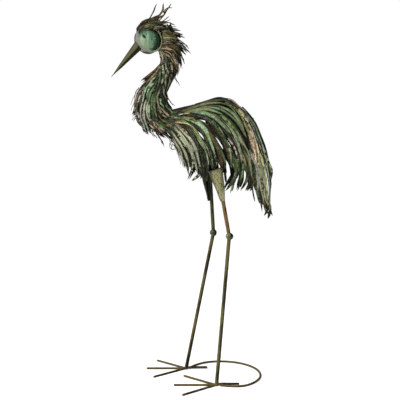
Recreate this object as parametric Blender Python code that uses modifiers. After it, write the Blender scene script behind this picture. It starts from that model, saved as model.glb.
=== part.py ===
"""Garden heron welded from cut sheet steel and round rod, standing on two wire feet tied by a rod ring.

Metres, +Z up. The bird looks towards -X and its left side is towards -Y. Points are first laid out round
the foot of the vertical through the middle of the body, and the last step moves the whole bird so that its
box stands centred over the origin. Feathers are lofted blades, fused region by region.
"""

import math
import random

import bmesh
import bpy
import numpy as np
from mathutils import Matrix, Vector

GAP = 0.0003  # clearance between two pieces that a weld joins

# Feet: each a straight middle toe with a rear end, and two toes welded to its sides
TOE_RADIUS = 0.003
TOE_LENGTH = 0.115
REAR_TOE_LENGTH = 0.061
TOE_SPREAD = math.radians(39)
TOE_ROOT_SETBACK = 0.006
FOOT_LEFT = (0.0445, -0.067)
FOOT_RIGHT = (-0.0395, 0.0665)

# Ring behind the feet
LOOP_RADIUS = 0.109
LOOP_BEHIND = 0.0165  # of its centre behind the left leg
LOOP_BESIDE = 0.023  # from the left middle toe out to its widest place
LOOP_CENTRE = (FOOT_LEFT[0] + LOOP_BEHIND, FOOT_LEFT[1] - LOOP_BESIDE + LOOP_RADIUS)
LOOP_EASE = math.radians(42)
LOOP_SETBACK = 0.009  # of its ends behind the legs

# Legs
LEG_RADIUS = 0.0042
KNEE_RADIUS = 0.0095
KNEE_LEFT = (0.078, -0.052, 0.402)
KNEE_RIGHT = (0.038, 0.050, 0.400)
HIP_LEFT = (0.80, 0.25)  # where a leg is seated under the back, across and along the flank
HIP_RIGHT = (0.82, 0.30)
HIP_SEAT = 0.0006  # how far its end is let into the sheet

# Thighs: sheet rolled to a cone round the upper leg, with a slit left open on the inner side
THIGH_START = 0.090  # from the ball of the knee up to the lower end
THIGH_LENGTH = 0.084
THIGH_TOP_RADIUS = 0.0185
THIGH_WALL = 0.0015
THIGH_SEGMENTS = 18
THIGH_SLIT_SEGMENTS = 3
THIGH_LOW_RADIUS = (LEG_RADIUS + GAP) / math.cos(math.pi / THIGH_SEGMENTS)  # its facets clear the rod

# Head, turned a little to the bird's left
HEAD_CENTRE = (-0.139, 0.0, 0.926)
HEAD_YAW = math.radians(25)
HEAD_WIDTH = 0.024  # of the band between the two cheeks
BAND_RADIUS = 0.0322
CHEEK_RADIUS = 0.0337
CHEEK_DEPTH = 0.017
CHEEK_WALL = 0.0015
EYE_PLACE = (0.0225, 0.0095)  # ahead of and above the centre of the cheek
EYE_SLOT = (0.006, 0.0025)
EYE_SLANT = 50

# Beak: sheet folded to a spike of four faces, a fold on each side, above and below
BEAK_LENGTH = 0.120
BEAK_PITCH = math.radians(49)
BEAK_ROOT = (0.0290, -0.0155)  # ahead of and below the centre of the head
BEAK_HALF_HEIGHT = 0.0142
BEAK_HALF_WIDTH = 0.0105

# Neck: its outline in front and behind, from the head to the shoulder
NECK_FRONT = (
    (-0.120, 0.915), (-0.112, 0.895), (-0.108, 0.876), (-0.111, 0.856), (-0.131, 0.834),
    (-0.158, 0.806), (-0.174, 0.776), (-0.179, 0.742), (-0.170, 0.706), (-0.138, 0.681),
)
NECK_BACK = (
    (-0.066, 0.946), (-0.054, 0.916), (-0.053, 0.882), (-0.059, 0.850), (-0.073, 0.821),
    (-0.087, 0.794), (-0.089, 0.773), (-0.084, 0.757), (-0.076, 0.744), (-0.065, 0.735),
)
NECK_SIDE_SHARE = 0.88  # the neck is this much narrower than it is deep
NECK_RIDGES = 7
NECK_RIDGE_DEPTH = 0.14
NECK_TWIST = 0.9
NECK_STATIONS = 15
NECK_BARB_ROWS = 9
NECK_BARBS_ROUND = 8
NECK_BARB_SPAN = 0.18  # share of the neck's length that one strip covers
NECK_BARB_WIDTH = 0.0055
NECK_BARB_THICKNESS = 0.0022
NECK_OVERRUN = 0.1  # share of its length that it runs on into the head, where the head then cuts it
NECK_TOP_Z = 0.941  # crest above, nape below

# Crest: a tuft along the top of the head, and the plumes that leave it, each as root, middle and tip
CREST_LINE = ((-0.171, 0.951), (-0.158, 0.963), (-0.136, 0.969), (-0.108, 0.963), (-0.080, 0.951))
CREST_RADII = (0.006, 0.0115, 0.0140, 0.0150, 0.012)
CREST_SIDE_SHARE = 1.3
CREST_RIDGES = 6
CREST_RIDGE_DEPTH = 0.25
CREST_STATIONS = 7
CREST_PLUMES = (
    ((-0.152, 0.972), (-0.131, 0.998), (-0.116, 1.024), 0.002),
    ((-0.140, 0.974), (-0.112, 0.997), (-0.098, 1.028), -0.004),
    ((-0.138, 0.972), (-0.102, 0.994), (-0.078, 1.026), 0.007),
    ((-0.124, 0.972), (-0.094, 0.994), (-0.077, 1.014), -0.009),
    ((-0.130, 0.972), (-0.105, 0.986), (-0.086, 0.990), 0.012),
    ((-0.122, 0.970), (-0.097, 0.980), (-0.080, 0.983), -0.013),
    ((-0.116, 0.967), (-0.088, 0.975), (-0.070, 0.968), 0.004),
    ((-0.114, 0.963), (-0.088, 0.968), (-0.066, 0.962), -0.006),
    ((-0.108, 0.960), (-0.082, 0.962), (-0.060, 0.956), 0.011),
    ((-0.106, 0.956), (-0.080, 0.957), (-0.054, 0.950), -0.011),
    ((-0.102, 0.953), (-0.072, 0.951), (-0.048, 0.942), 0.001),
    ((-0.170, 0.953), (-0.164, 0.975), (-0.143, 0.986), 0.005),
    ((-0.168, 0.953), (-0.160, 0.976), (-0.132, 0.990), -0.006),
    ((-0.160, 0.960), (-0.146, 0.984), (-0.117, 0.990), 0.010),
    ((-0.150, 0.965), (-0.132, 0.985), (-0.105, 0.980), -0.011),
    ((-0.146, 0.960), (-0.125, 0.975), (-0.094, 0.966), 0.016),
)
PLUME_WIDTH = 0.0045
PLUME_THICKNESS = 0.0018

# Flank: five lines of flow from shoulder to fringe, the first along the belly, the last along the ridge
FLOW_LINES = (
    ((-0.121, 0.684), (-0.098, 0.674), (-0.077, 0.653), (-0.058, 0.629), (-0.042, 0.603), (-0.032, 0.573)),
    ((-0.110, 0.702), (-0.068, 0.691), (-0.034, 0.665), (-0.010, 0.626), (0.005, 0.584), (0.011, 0.542)),
    ((-0.096, 0.717), (-0.042, 0.712), (0.005, 0.691), (0.042, 0.644), (0.065, 0.584), (0.073, 0.524)),
    ((-0.085, 0.729), (-0.021, 0.736), (0.040, 0.733), (0.090, 0.690), (0.122, 0.616), (0.133, 0.525)),
    ((-0.082, 0.739), (-0.005, 0.757), (0.062, 0.774), (0.125, 0.731), (0.169, 0.638), (0.194, 0.540)),
)
HALF_WIDTHS = (0.034, 0.056, 0.074, 0.080, 0.074, 0.062)  # along the flow
WIDTH_SHARES = (0.75, 0.97, 1.0, 0.74, 0.0)  # across it, from belly to ridge
SHELL_WALL = 0.0024
SHELL_ENDS = 0.80  # share of the flow that the overlapping roots close to a shell
SHELL_ACROSS = 7
SHELL_ALONG = 7

# Blades of the flank, row by row from the shoulder: start, span, number, half width, lift of the tip
BLADE_ROWS = (
    (0.00, 0.42, 7, 0.0098, 0.007),
    (0.26, 0.44, 8, 0.0100, 0.008),
    (0.52, 0.54, 11, 0.0100, 0.005),
)
BLADE_PROUD = 0.0010  # of a root over the middle of the sheet
BLADE_THICKNESS = 0.0026
BLADE_STATIONS = 5
BLADE_CURL = 0.009
REAR_REACH = 0.13  # how much more of the flow the last row covers towards the ridge, from REAR_FROM
REAR_FROM = 0.60
REAR_BREADTH = 0.45  # and how much broader it is there
TAIL_TIPS = ((0.184, 0.444, 0.004), (0.199, 0.453, -0.010), (0.178, 0.462, 0.016), (0.163, 0.487, -0.022))
TAIL_ROOTS = (0.97, 0.94, 0.90, 0.84)
TAIL_START = 0.66
TAIL_WIDTH = 0.0105

rng = random.Random(7)


def empty_scene():
    for obj in list(bpy.data.objects):
        bpy.data.objects.remove(obj, do_unlink=True)


def new_collection(name):
    collection = bpy.data.collections.new(name)
    bpy.context.scene.collection.children.link(collection)
    return collection


def new_material(name, color, metallic, roughness):
    material = bpy.data.materials.new(name)
    material.use_nodes = True
    shader = material.node_tree.nodes["Principled BSDF"]
    shader.inputs["Base Color"].default_value = (*color, 1.0)
    shader.inputs["Metallic"].default_value = metallic
    shader.inputs["Roughness"].default_value = roughness
    return material


empty_scene()
bird = new_collection("garden_heron")
cutters = new_collection("garden_heron_cutters")
FEATHER = new_material("patina_sheet", (0.20, 0.30, 0.22), 0.4, 0.5)
ROD = new_material("patina_rod", (0.16, 0.18, 0.12), 0.4, 0.5)
CHEEK = new_material("verdigris_cheek", (0.20, 0.42, 0.32), 0.3, 0.45)
BEAK = new_material("olive_beak", (0.14, 0.15, 0.08), 0.4, 0.45)
THIGH = new_material("hammered_sage", (0.30, 0.34, 0.20), 0.4, 0.5)


def add(name, mesh, collection=bird, material=FEATHER):
    obj = bpy.data.objects.new(name, mesh)
    collection.objects.link(obj)
    if not mesh.materials:
        mesh.materials.append(material)
    if collection == cutters:
        obj.hide_render = True
        obj.display_type = "WIRE"
    return obj


def mesh_from(name, build):
    """A mesh filled by build(bm)."""
    bm = bmesh.new()
    build(bm)
    bmesh.ops.recalc_face_normals(bm, faces=bm.faces)
    mesh = bpy.data.meshes.new(name)
    bm.to_mesh(mesh)
    bm.free()
    return mesh


def modify(obj, kind, **settings):
    modifier = obj.modifiers.new(kind.lower(), kind)
    for key, value in settings.items():
        setattr(modifier, key, value)
    return modifier


def freeze(obj):
    """Replaces an object by the mesh that its curve or modifiers make, with its caps welded."""
    bpy.context.view_layer.update()
    evaluated = obj.evaluated_get(bpy.context.evaluated_depsgraph_get())
    mesh = bpy.data.meshes.new_from_object(evaluated)
    name = obj.name
    collection = obj.users_collection[0]
    place = obj.matrix_world.copy()
    bpy.data.objects.remove(obj, do_unlink=True)
    bm = bmesh.new()
    bm.from_mesh(mesh)
    bmesh.ops.remove_doubles(bm, verts=bm.verts, dist=0.00002)
    bm.to_mesh(mesh)
    bm.free()
    frozen = add(name, mesh, collection)
    frozen.matrix_world = place
    return frozen


def cut(obj, *tools):
    for tool in tools:
        modify(obj, "BOOLEAN", operation="DIFFERENCE", object=tool, solver="EXACT")


def shade_round(obj):
    obj.data.shade_smooth()
    obj.data.set_sharp_from_angle(angle=math.radians(35))


# Smooth lines and lofts


def smooth(keys, share):
    """A Catmull-Rom line through evenly spaced keys, read at shares of its length, straight on past its ends."""
    keys = np.asarray(keys, float)
    share = np.atleast_1d(np.asarray(share, float))
    padded = np.concatenate([[2 * keys[0] - keys[1]], keys, [2 * keys[-1] - keys[-2]]])
    place = np.clip(share, 0, 1) * (len(keys) - 1)
    first = np.minimum(place.astype(int), len(keys) - 2)
    part = (place - first).reshape(-1, *[1] * (keys.ndim - 1))
    a, b, c, d = (padded[first + k] for k in range(4))
    point = 0.5 * (
        2 * b + (c - a) * part + (2 * a - 5 * b + 4 * c - d) * part**2 + (3 * b - a - 3 * c + d) * part**3
    )
    over = (np.clip(share, 1, None) - 1).reshape(part.shape) * (len(keys) - 1)
    under = np.clip(share, None, 0).reshape(part.shape) * (len(keys) - 1)
    return point + over * (keys[-1] - keys[-2]) + under * (keys[1] - keys[0])


def unit(vectors):
    return vectors / np.linalg.norm(vectors, axis=-1, keepdims=True)


def loft(name, rings, point_end=False, collection=bird):
    """A closed skin over rings of equal count, capped by the first ring and by the last ring or a point."""
    count = len(rings[0])
    tip = rings[-1].mean(axis=0)
    if point_end:
        rings = rings[:-1]

    def build(bm):
        rows = [[bm.verts.new(point) for point in ring] for ring in rings]
        for low, high in zip(rows, rows[1:]):
            for k in range(count):
                bm.faces.new((low[k], low[k - 1], high[k - 1], high[k]))
        bm.faces.new(rows[0])
        if point_end:
            end = bm.verts.new(tip)
            for k in range(count):
                bm.faces.new((rows[-1][k], rows[-1][k - 1], end))
        else:
            bm.faces.new(rows[-1][::-1])
        bmesh.ops.triangulate(bm, faces=bm.faces)

    return add(name, mesh_from(name, build), collection)


def blade(name, line, outward, width, thickness, collection):
    """A strip with a ridge along it: two thirds wide at its root, widest at 0.4, drawn to a point."""
    share = np.linspace(0, 1, len(line))[:, None]
    along = unit(np.gradient(line, axis=0))
    across = unit(np.cross(along, outward))
    face = np.cross(across, along)
    half = width * np.sin(np.pi * (0.2 + 0.8 * share)) ** 0.8
    ridge = thickness * (1 - 0.6 * share)
    rings = np.stack([line + across * half, line + face * ridge, line - across * half], axis=1)
    return loft(name, rings, point_end=True, collection=collection)


def fuse(base, blades, *tools):
    """Joins the blades to their base, takes room for the neighbours out of it and keeps the one body left."""
    modify(base, "TRIANGULATE")
    modify(base, "BOOLEAN", operation="UNION", operand_type="COLLECTION", collection=blades, solver="EXACT")
    cut(base, *tools)
    fused = freeze(base)
    for obj in list(blades.objects):
        bpy.data.objects.remove(obj, do_unlink=True)
    bpy.data.collections.remove(blades)
    keep_largest(fused.data)
    return fused


def keep_largest(mesh):
    """Deletes the clippings that a cut has parted from the main body."""
    bm = bmesh.new()
    bm.from_mesh(mesh)
    bmesh.ops.dissolve_degenerate(bm, dist=0.00001, edges=bm.edges)
    bmesh.ops.triangulate(bm, faces=bm.faces)
    left = set(bm.faces)
    islands = []
    while left:
        front = [left.pop()]
        island = []
        while front:
            face = front.pop()
            island.append(face)
            joining = [edge for edge in face.edges if len(edge.link_faces) == 2]
            near = {other for edge in joining for other in edge.link_faces if other in left}
            left -= near
            front += near
        islands.append(island)
    largest = max(islands, key=len)
    clippings = [face for island in islands if island is not largest for face in island]
    bmesh.ops.delete(bm, geom=clippings, context="FACES")
    loose = [edge for edge in bm.edges if not edge.link_faces]
    bmesh.ops.delete(bm, geom=loose, context="EDGES")
    rims = [edge for edge in bm.edges if len(edge.link_faces) == 1]
    filled = bmesh.ops.holes_fill(bm, edges=rims, sides=0)
    bmesh.ops.triangulate(bm, faces=filled["faces"])
    bmesh.ops.recalc_face_normals(bm, faces=bm.faces)
    bm.to_mesh(mesh)
    bm.free()


# Rods


def rod(name, points, radius, collection=bird):
    """A round bar through the points, eight-sided, with a flat facet underneath where it lies level."""
    curve = bpy.data.curves.new(name, "CURVE")
    curve.dimensions = "3D"
    curve.bevel_depth = radius
    curve.bevel_resolution = 2
    curve.use_fill_caps = True
    spline = curve.splines.new("POLY")
    spline.points.add(len(points) - 1)
    for place, point in zip(spline.points, points):
        place.co = (*point, 1.0)
        place.tilt = math.pi / 8
    obj = freeze(add_curve(name, curve, collection))
    obj.data.materials.clear()
    obj.data.materials.append(ROD)
    shade_round(obj)
    return obj


def add_curve(name, curve, collection):
    obj = bpy.data.objects.new(name, curve)
    collection.objects.link(obj)
    return obj


def mitre(obj, near, on_plane, normal, count=8):
    """Slides the end ring of a rod, of count points, along its last stretch onto a plane."""
    place = obj.matrix_world
    near = Vector(near)
    on_plane = Vector(on_plane)
    normal = Vector(normal)
    nearest = sorted(obj.data.vertices, key=lambda vert: (place @ vert.co - near).length)
    ring, others = ([place @ vert.co for vert in group] for group in (nearest[:count], nearest[count:2 * count]))
    along = (sum(others, Vector()) - sum(ring, Vector())).normalized()
    back = place.inverted()
    for vert, point in zip(nearest, ring):
        vert.co = back @ (point + along * ((on_plane - point).dot(normal) / along.dot(normal)))


FACET = TOE_RADIUS * math.cos(math.pi / 8)  # from a toe's middle to its flat


def make_foot(side, foot, outward):
    """A straight middle toe that runs on behind, and two toes cut to lie against its sides."""
    x, y = foot
    ends = ((x - TOE_LENGTH, y, FACET), (x + REAR_TOE_LENGTH, y, FACET))
    rod(side + "_middle_toe", ends, TOE_RADIUS)
    for kind, turn in (("outer", outward), ("inner", -outward)):
        root = (x - TOE_ROOT_SETBACK, y, FACET)
        reach = TOE_LENGTH - TOE_ROOT_SETBACK * math.cos(TOE_SPREAD)
        tip = (root[0] - reach * math.cos(TOE_SPREAD), y + turn * reach * math.sin(TOE_SPREAD), FACET)
        toe = rod(f"{side}_{kind}_toe", (root, tip), TOE_RADIUS)
        mitre(toe, root, (0, y + turn * (FACET + GAP), 0), (0, 1, 0))


def make_loop():
    """A ring of constant radius that eases inwards at each end to meet the side of its foot."""
    centre = Vector(LOOP_CENTRE)
    start = Vector((FOOT_RIGHT[0] + LOOP_SETBACK, FOOT_RIGHT[1] + FACET))
    end = Vector((FOOT_LEFT[0] + LOOP_SETBACK, FOOT_LEFT[1] - FACET))
    first = math.atan2(*(start - centre).yx)
    last = math.atan2(*(end - centre).yx)
    points = []
    for angle in np.linspace(first, last, 21):
        radius = LOOP_RADIUS
        for meeting, at in ((start, first), (end, last)):
            ease = max(0.0, 1 - abs(angle - at) / LOOP_EASE)
            radius += ((meeting - centre).length - LOOP_RADIUS) * ease * ease * (3 - 2 * ease)
        points.append((centre.x + radius * math.cos(angle), centre.y + radius * math.sin(angle), FACET))
    loop = rod("base_loop", points, TOE_RADIUS)
    mitre(loop, points[0], (0, FOOT_RIGHT[1] + FACET + GAP, 0), (0, 1, 0))
    mitre(loop, points[-1], (0, FOOT_LEFT[1] - FACET - GAP, 0), (0, 1, 0))


def ball(name, centre, radius, collection):
    def build(bm):
        bmesh.ops.create_uvsphere(bm, u_segments=12, v_segments=7, radius=radius)

    obj = add(name, mesh_from(name, build), collection, ROD)
    obj.location = centre
    shade_round(obj)
    return obj


# Body


def flank(across, along):
    """Points of the left flank: across runs from belly 0 to ridge 1, along from shoulder 0 to fringe 1."""
    across = np.atleast_1d(across)
    along = np.atleast_1d(along)
    lines = smooth(np.swapaxes(FLOW_LINES, 0, 1), along)
    points = np.array([smooth(keys, share)[0] for keys, share in zip(lines, across)])
    half = smooth(HALF_WIDTHS, along) * smooth(WIDTH_SHARES, across)
    half = np.where(across >= 1, 0, half)
    return np.stack([points[:, 0], -half, points[:, 1]], axis=1)


def flank_normal(across, along):
    step = 0.02
    down = flank(np.clip(across - step, 0, 1), along) - flank(np.clip(across + step, 0, 1), along)
    back = flank(across, along + step) - flank(across, along - step)
    return unit(np.cross(down, back))


def flip(points):
    return points * (1, -1, 1)


def make_shell():
    """The closed upper part, where blade lies on blade: a half grid mirrored over the ridge and given a wall."""
    across = np.linspace(0, 1, SHELL_ACROSS)
    along = np.linspace(0, SHELL_ENDS, SHELL_ALONG)

    def build(bm):
        rows = [[bm.verts.new(point) for point in flank(across, np.full(SHELL_ACROSS, place))] for place in along]
        for low, high in zip(rows, rows[1:]):
            for k in range(SHELL_ACROSS - 1):
                bm.faces.new((low[k], low[k + 1], high[k + 1], high[k]))

    shell = add("body_feathers", mesh_from("body_feathers", build))
    modify(shell, "MIRROR", use_axis=(False, True, False), merge_threshold=0.00005)
    modify(shell, "SOLIDIFY", thickness=SHELL_WALL, offset=0.0)
    return shell


def make_body(*rooms):
    shell = make_shell()
    blades = new_collection("body_blades")
    for number, (start, span, count, width, lift) in enumerate(BLADE_ROWS):
        for k in range(count):
            for side in (0, 1):
                across = (k + 0.35 + 0.3 * (number % 2) + rng.uniform(-0.12, 0.12)) / count
                share = np.linspace(0, 1, BLADE_STATIONS)
                rear = max(0.0, across - REAR_FROM) / (1 - REAR_FROM) * (number == 2)
                along = start + (span + REAR_REACH * rear + rng.uniform(-0.04, 0.05)) * share
                lean = across + 0.03 * share * (0.5 - across)
                out = flank_normal(lean, along)
                line = flank(lean, along) + out * (BLADE_PROUD + lift * share**1.5)[:, None]
                line[:, 0] -= BLADE_CURL * share**4 * (1 - across) * (number == 2)
                if side:
                    line, out = flip(line), flip(out)
                half = width * (1 + REAR_BREADTH * rear)
                blade(f"blade_{number}_{k}_{side}", line, out, half, BLADE_THICKNESS, blades)
    for k, (tip, across) in enumerate(zip(TAIL_TIPS, TAIL_ROOTS)):
        for side in (0, 1):
            root = flank(across, TAIL_START)[0]
            knee = flank(across, TAIL_START + 0.16)[0]
            end = np.array((tip[0], -tip[2] if side else tip[2], tip[1]))
            if side:
                root, knee = flip(root), flip(knee)
            share = np.linspace(0, 1, 6)[:, None]
            control = knee * (1, 0.8, 1)
            line = root * (1 - share) ** 2 + control * 2 * share * (1 - share) + end * share**2
            out = np.tile((0.5, -1.0 + 2.0 * side, 0.1), (6, 1))
            blade(f"tail_{k}_{side}", line, out, TAIL_WIDTH, BLADE_THICKNESS, blades)
    return fuse(shell, blades, *rooms)


# Neck


def neck_skin(share, angle, lift=0.0):
    """Points of the neck and the way out: share 0 is at the head, 1 the shoulder; angle 0 the throat, pi the nape."""
    share = np.atleast_1d(share)
    angle = np.broadcast_to(angle, share.shape)
    front = smooth(NECK_FRONT, share)
    back = smooth(NECK_BACK, share)
    middle = (front + back) / 2
    radius = np.linalg.norm(front - back, axis=1) / 2
    way = (front - back) / (2 * radius[:, None])
    middle = np.stack([middle[:, 0], np.zeros(len(share)), middle[:, 1]], axis=1)
    way = np.stack([way[:, 0], np.zeros(len(share)), way[:, 1]], axis=1)
    out = way * np.cos(angle)[:, None] - np.array((0, NECK_SIDE_SHARE, 0)) * np.sin(angle)[:, None]
    return middle + out * (radius + lift)[:, None], unit(out)


def make_neck(*rooms):
    rings = []
    for place in np.linspace(-NECK_OVERRUN, 1, NECK_STATIONS):
        angles = np.arange(2 * NECK_RIDGES) * math.pi / NECK_RIDGES + NECK_TWIST * place
        across = np.linalg.norm(smooth(NECK_FRONT, place) - smooth(NECK_BACK, place)) / 2
        depth = -NECK_RIDGE_DEPTH * across * (np.arange(2 * NECK_RIDGES) % 2)
        ring, _ = neck_skin(np.full(len(angles), place), angles, depth)
        rings.append(ring)
    neck = loft("neck_feathers", rings)
    blades = new_collection("neck_barbs")
    for row in range(NECK_BARB_ROWS):
        for k in range(NECK_BARBS_ROUND):
            angle = (k + 0.5 * (row % 2) + rng.uniform(-0.2, 0.2)) * 2 * math.pi / NECK_BARBS_ROUND
            nape = max(0.0, -math.cos(angle)) * max(0.0, 1 - row / 6)
            start = 0.02 + 0.80 * row / (NECK_BARB_ROWS - 1)
            share = np.linspace(0, 1, 4)
            place = start + (NECK_BARB_SPAN - 0.03 * nape) * share
            lift = -0.004 + (0.012 + 0.018 * nape + rng.uniform(-0.002, 0.003)) * share
            line, out = neck_skin(place, angle, lift)
            width = NECK_BARB_WIDTH * (0.7 + 0.5 * start)
            blade(f"barb_{row}_{k}", line, out, width, NECK_BARB_THICKNESS, blades)
    return fuse(neck, blades, *rooms)


# Head


def head_turn():
    """Turns +X to where the head faces, +Y up and +Z to the bird's right."""
    forward = Vector((-math.cos(HEAD_YAW), -math.sin(HEAD_YAW), 0))
    up = Vector((0, 0, 1))
    turn = Matrix((forward, up, forward.cross(up))).transposed().to_4x4()
    return Matrix.Translation(HEAD_CENTRE) @ turn


def turned(name, profile, collection, material, steps=18):
    """A profile of radius and height pairs, turned about +Z of the head and closed on itself."""

    def build(bm):
        verts = [bm.verts.new((radius, 0, height)) for radius, height in profile]
        for a, b in zip(verts, verts[1:]):
            bm.edges.new((a, b))
        if profile[0][0] > 0:
            bm.edges.new((verts[-1], verts[0]))

    obj = add(name, mesh_from(name, build), collection, material)
    modify(
        obj, "SCREW", axis="Z", steps=steps, render_steps=steps, use_merge_vertices=True,
        merge_threshold=0.00005, use_normal_calculate=True,
    )
    obj = freeze(obj)
    obj.data.materials.clear()
    obj.data.materials.append(material)
    bm = bmesh.new()
    bm.from_mesh(obj.data)
    bmesh.ops.recalc_face_normals(bm, faces=bm.faces)
    bm.to_mesh(obj.data)
    bm.free()
    shade_round(obj)
    return obj


def dome(radius, depth, start):
    """Quarter ellipse from the pole down to the rim, as radius and height pairs."""
    angles = np.linspace(0, math.pi / 2, 5)
    return [(radius * math.sin(a), start + depth * math.cos(a)) for a in angles]


def make_head():
    place = head_turn()
    half = HEAD_WIDTH / 2
    band = turned(
        "head_band",
        [(BAND_RADIUS, half), (BAND_RADIUS, -half), (BAND_RADIUS - CHEEK_WALL, -half),
         (BAND_RADIUS - CHEEK_WALL, half)],
        bird, CHEEK,
    )
    band.matrix_world = place
    inner = dome(CHEEK_RADIUS - CHEEK_WALL, CHEEK_DEPTH - CHEEK_WALL, 0)
    shell = dome(CHEEK_RADIUS, CHEEK_DEPTH, 0) + inner[::-1]
    for name, sign in (("left_cheek", -1), ("right_cheek", 1)):
        cheek = turned(name, shell, bird, CHEEK)
        cheek.matrix_world = place @ Matrix.Translation((0, 0, sign * (half + GAP)))
        if sign < 0:
            cheek.matrix_world @= Matrix.Rotation(math.pi, 4, "X")
        eye = add("eye_slot_" + name, mesh_from("eye_slot", lambda bm: bmesh.ops.create_cube(bm, size=1)), cutters)
        eye.matrix_world = (
            place
            @ Matrix.Translation((EYE_PLACE[0], EYE_PLACE[1], sign * (half + CHEEK_DEPTH)))
            @ Matrix.Rotation(math.radians(EYE_SLANT), 4, "Z")
            @ Matrix.Diagonal((EYE_SLOT[0], EYE_SLOT[1], 2 * CHEEK_DEPTH, 1))
        )
        cut(cheek, eye)


def head_room():
    """The space of the whole head with the clearance round it."""
    half = HEAD_WIDTH / 2 + GAP
    top = dome(CHEEK_RADIUS + GAP, CHEEK_DEPTH + GAP, half)
    room = turned("head_room", top + [(radius, -height) for radius, height in top[::-1]], cutters, CHEEK)
    room.matrix_world = head_turn()
    room.hide_render = True
    room.display_type = "WIRE"
    return room


def make_beak(room):
    """A four-sided cone whose root is cut to the head."""

    def build(bm):
        bmesh.ops.create_cone(
            bm, cap_ends=True, segments=4, radius1=BEAK_HALF_HEIGHT, radius2=0.0006, depth=BEAK_LENGTH
        )
        bmesh.ops.translate(bm, verts=bm.verts, vec=(0, 0, BEAK_LENGTH / 2))
        bmesh.ops.scale(bm, verts=bm.verts, vec=(1, BEAK_HALF_WIDTH / BEAK_HALF_HEIGHT, 1))

    beak = add("beak", mesh_from("beak", build), bird, BEAK)
    along = Vector((math.cos(BEAK_PITCH), -math.sin(BEAK_PITCH), 0))
    level = Vector((0, 0, 1))
    turn = Matrix((level.cross(along), level, along)).transposed().to_4x4()
    root = Vector((*BEAK_ROOT, 0)) - along * 0.010
    beak.matrix_world = head_turn() @ Matrix.Translation(root) @ turn
    cut(beak, room)


def make_crest(*rooms):
    rings = []
    for place in np.linspace(0, 1, CREST_STATIONS):
        centre = smooth(CREST_LINE, place)[0]
        tangent = unit(smooth(CREST_LINE, place + 0.02)[0] - smooth(CREST_LINE, place - 0.02)[0])
        angles = np.arange(2 * CREST_RIDGES) * math.pi / CREST_RIDGES
        radius = smooth(CREST_RADII, place)[0] * (1 - CREST_RIDGE_DEPTH * (np.arange(2 * CREST_RIDGES) % 2))
        up = np.array((-tangent[1], 0, tangent[0]))
        side = np.array((0.0, 1.0, 0.0))
        middle = np.array((centre[0], 0, centre[1]))
        offsets = up * np.cos(angles)[:, None] + side * (CREST_SIDE_SHARE * np.sin(angles))[:, None]
        rings.append(middle + radius[:, None] * offsets)
    crest = loft("crest_feathers", rings)
    blades = new_collection("crest_plumes")
    for k, (root, middle, tip, aside) in enumerate(CREST_PLUMES):
        share = np.linspace(0, 1, 4)[:, None]
        root, middle, tip = (
            np.array((point[0], aside * (0.6 + 0.6 * step), point[1]))
            for step, point in enumerate((root, middle, tip))
        )
        line = root * (1 - share) ** 2 + middle * 2 * share * (1 - share) + tip * share**2
        out = np.tile((-0.4, 0.25 * (-1) ** k, 1.0), (4, 1))
        blade(f"plume_{k}", line, out, PLUME_WIDTH, PLUME_THICKNESS, blades)
    return fuse(crest, blades, *rooms)


# Legs


def axis_matrix(start, end):
    start = Vector(start)
    return Matrix.Translation(start) @ (Vector(end) - start).to_track_quat("Z", "Y").to_matrix().to_4x4()


def cone_room(name, start, end, low, high, low_radius, high_radius):
    """A solid cone along the line from start to end, between two distances from start."""

    def build(bm):
        bmesh.ops.create_cone(
            bm, cap_ends=True, segments=THIGH_SEGMENTS, radius1=low_radius, radius2=high_radius, depth=high - low
        )
        bmesh.ops.translate(bm, verts=bm.verts, vec=(0, 0, (high + low) / 2))

    room = add(name, mesh_from(name, build), cutters)
    room.matrix_world = axis_matrix(start, end)
    return room


def make_thigh(name, knee, hip, inward):
    """A rolled cone with a slit towards the other leg, wound close round the rod at its lower end."""
    place = axis_matrix(knee, hip)
    local = place.inverted().to_3x3() @ Vector((0.25, inward, 0))
    facing = math.atan2(local.y, local.x)
    low = KNEE_RADIUS + THIGH_START

    def build(bm):
        bmesh.ops.create_cone(
            bm, cap_ends=False, segments=THIGH_SEGMENTS, radius1=THIGH_LOW_RADIUS, radius2=THIGH_TOP_RADIUS,
            depth=THIGH_LENGTH,
        )
        bmesh.ops.translate(bm, verts=bm.verts, vec=(0, 0, low + THIGH_LENGTH / 2))
        towards = Vector((math.cos(facing), math.sin(facing), 0))
        bm.faces.ensure_lookup_table()
        faces = sorted(bm.faces, key=lambda face: -face.calc_center_median().dot(towards))
        bmesh.ops.delete(bm, geom=faces[:THIGH_SLIT_SEGMENTS], context="FACES")

    thigh = add(name, mesh_from(name, build), bird, THIGH)
    face = thigh.data.polygons[0]
    outwards = math.copysign(1.0, face.normal.xy.dot(face.center.xy))
    modify(thigh, "SOLIDIFY", thickness=THIGH_WALL, offset=outwards, use_even_offset=True)
    thigh.matrix_world = place
    shade_round(thigh)


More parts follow.
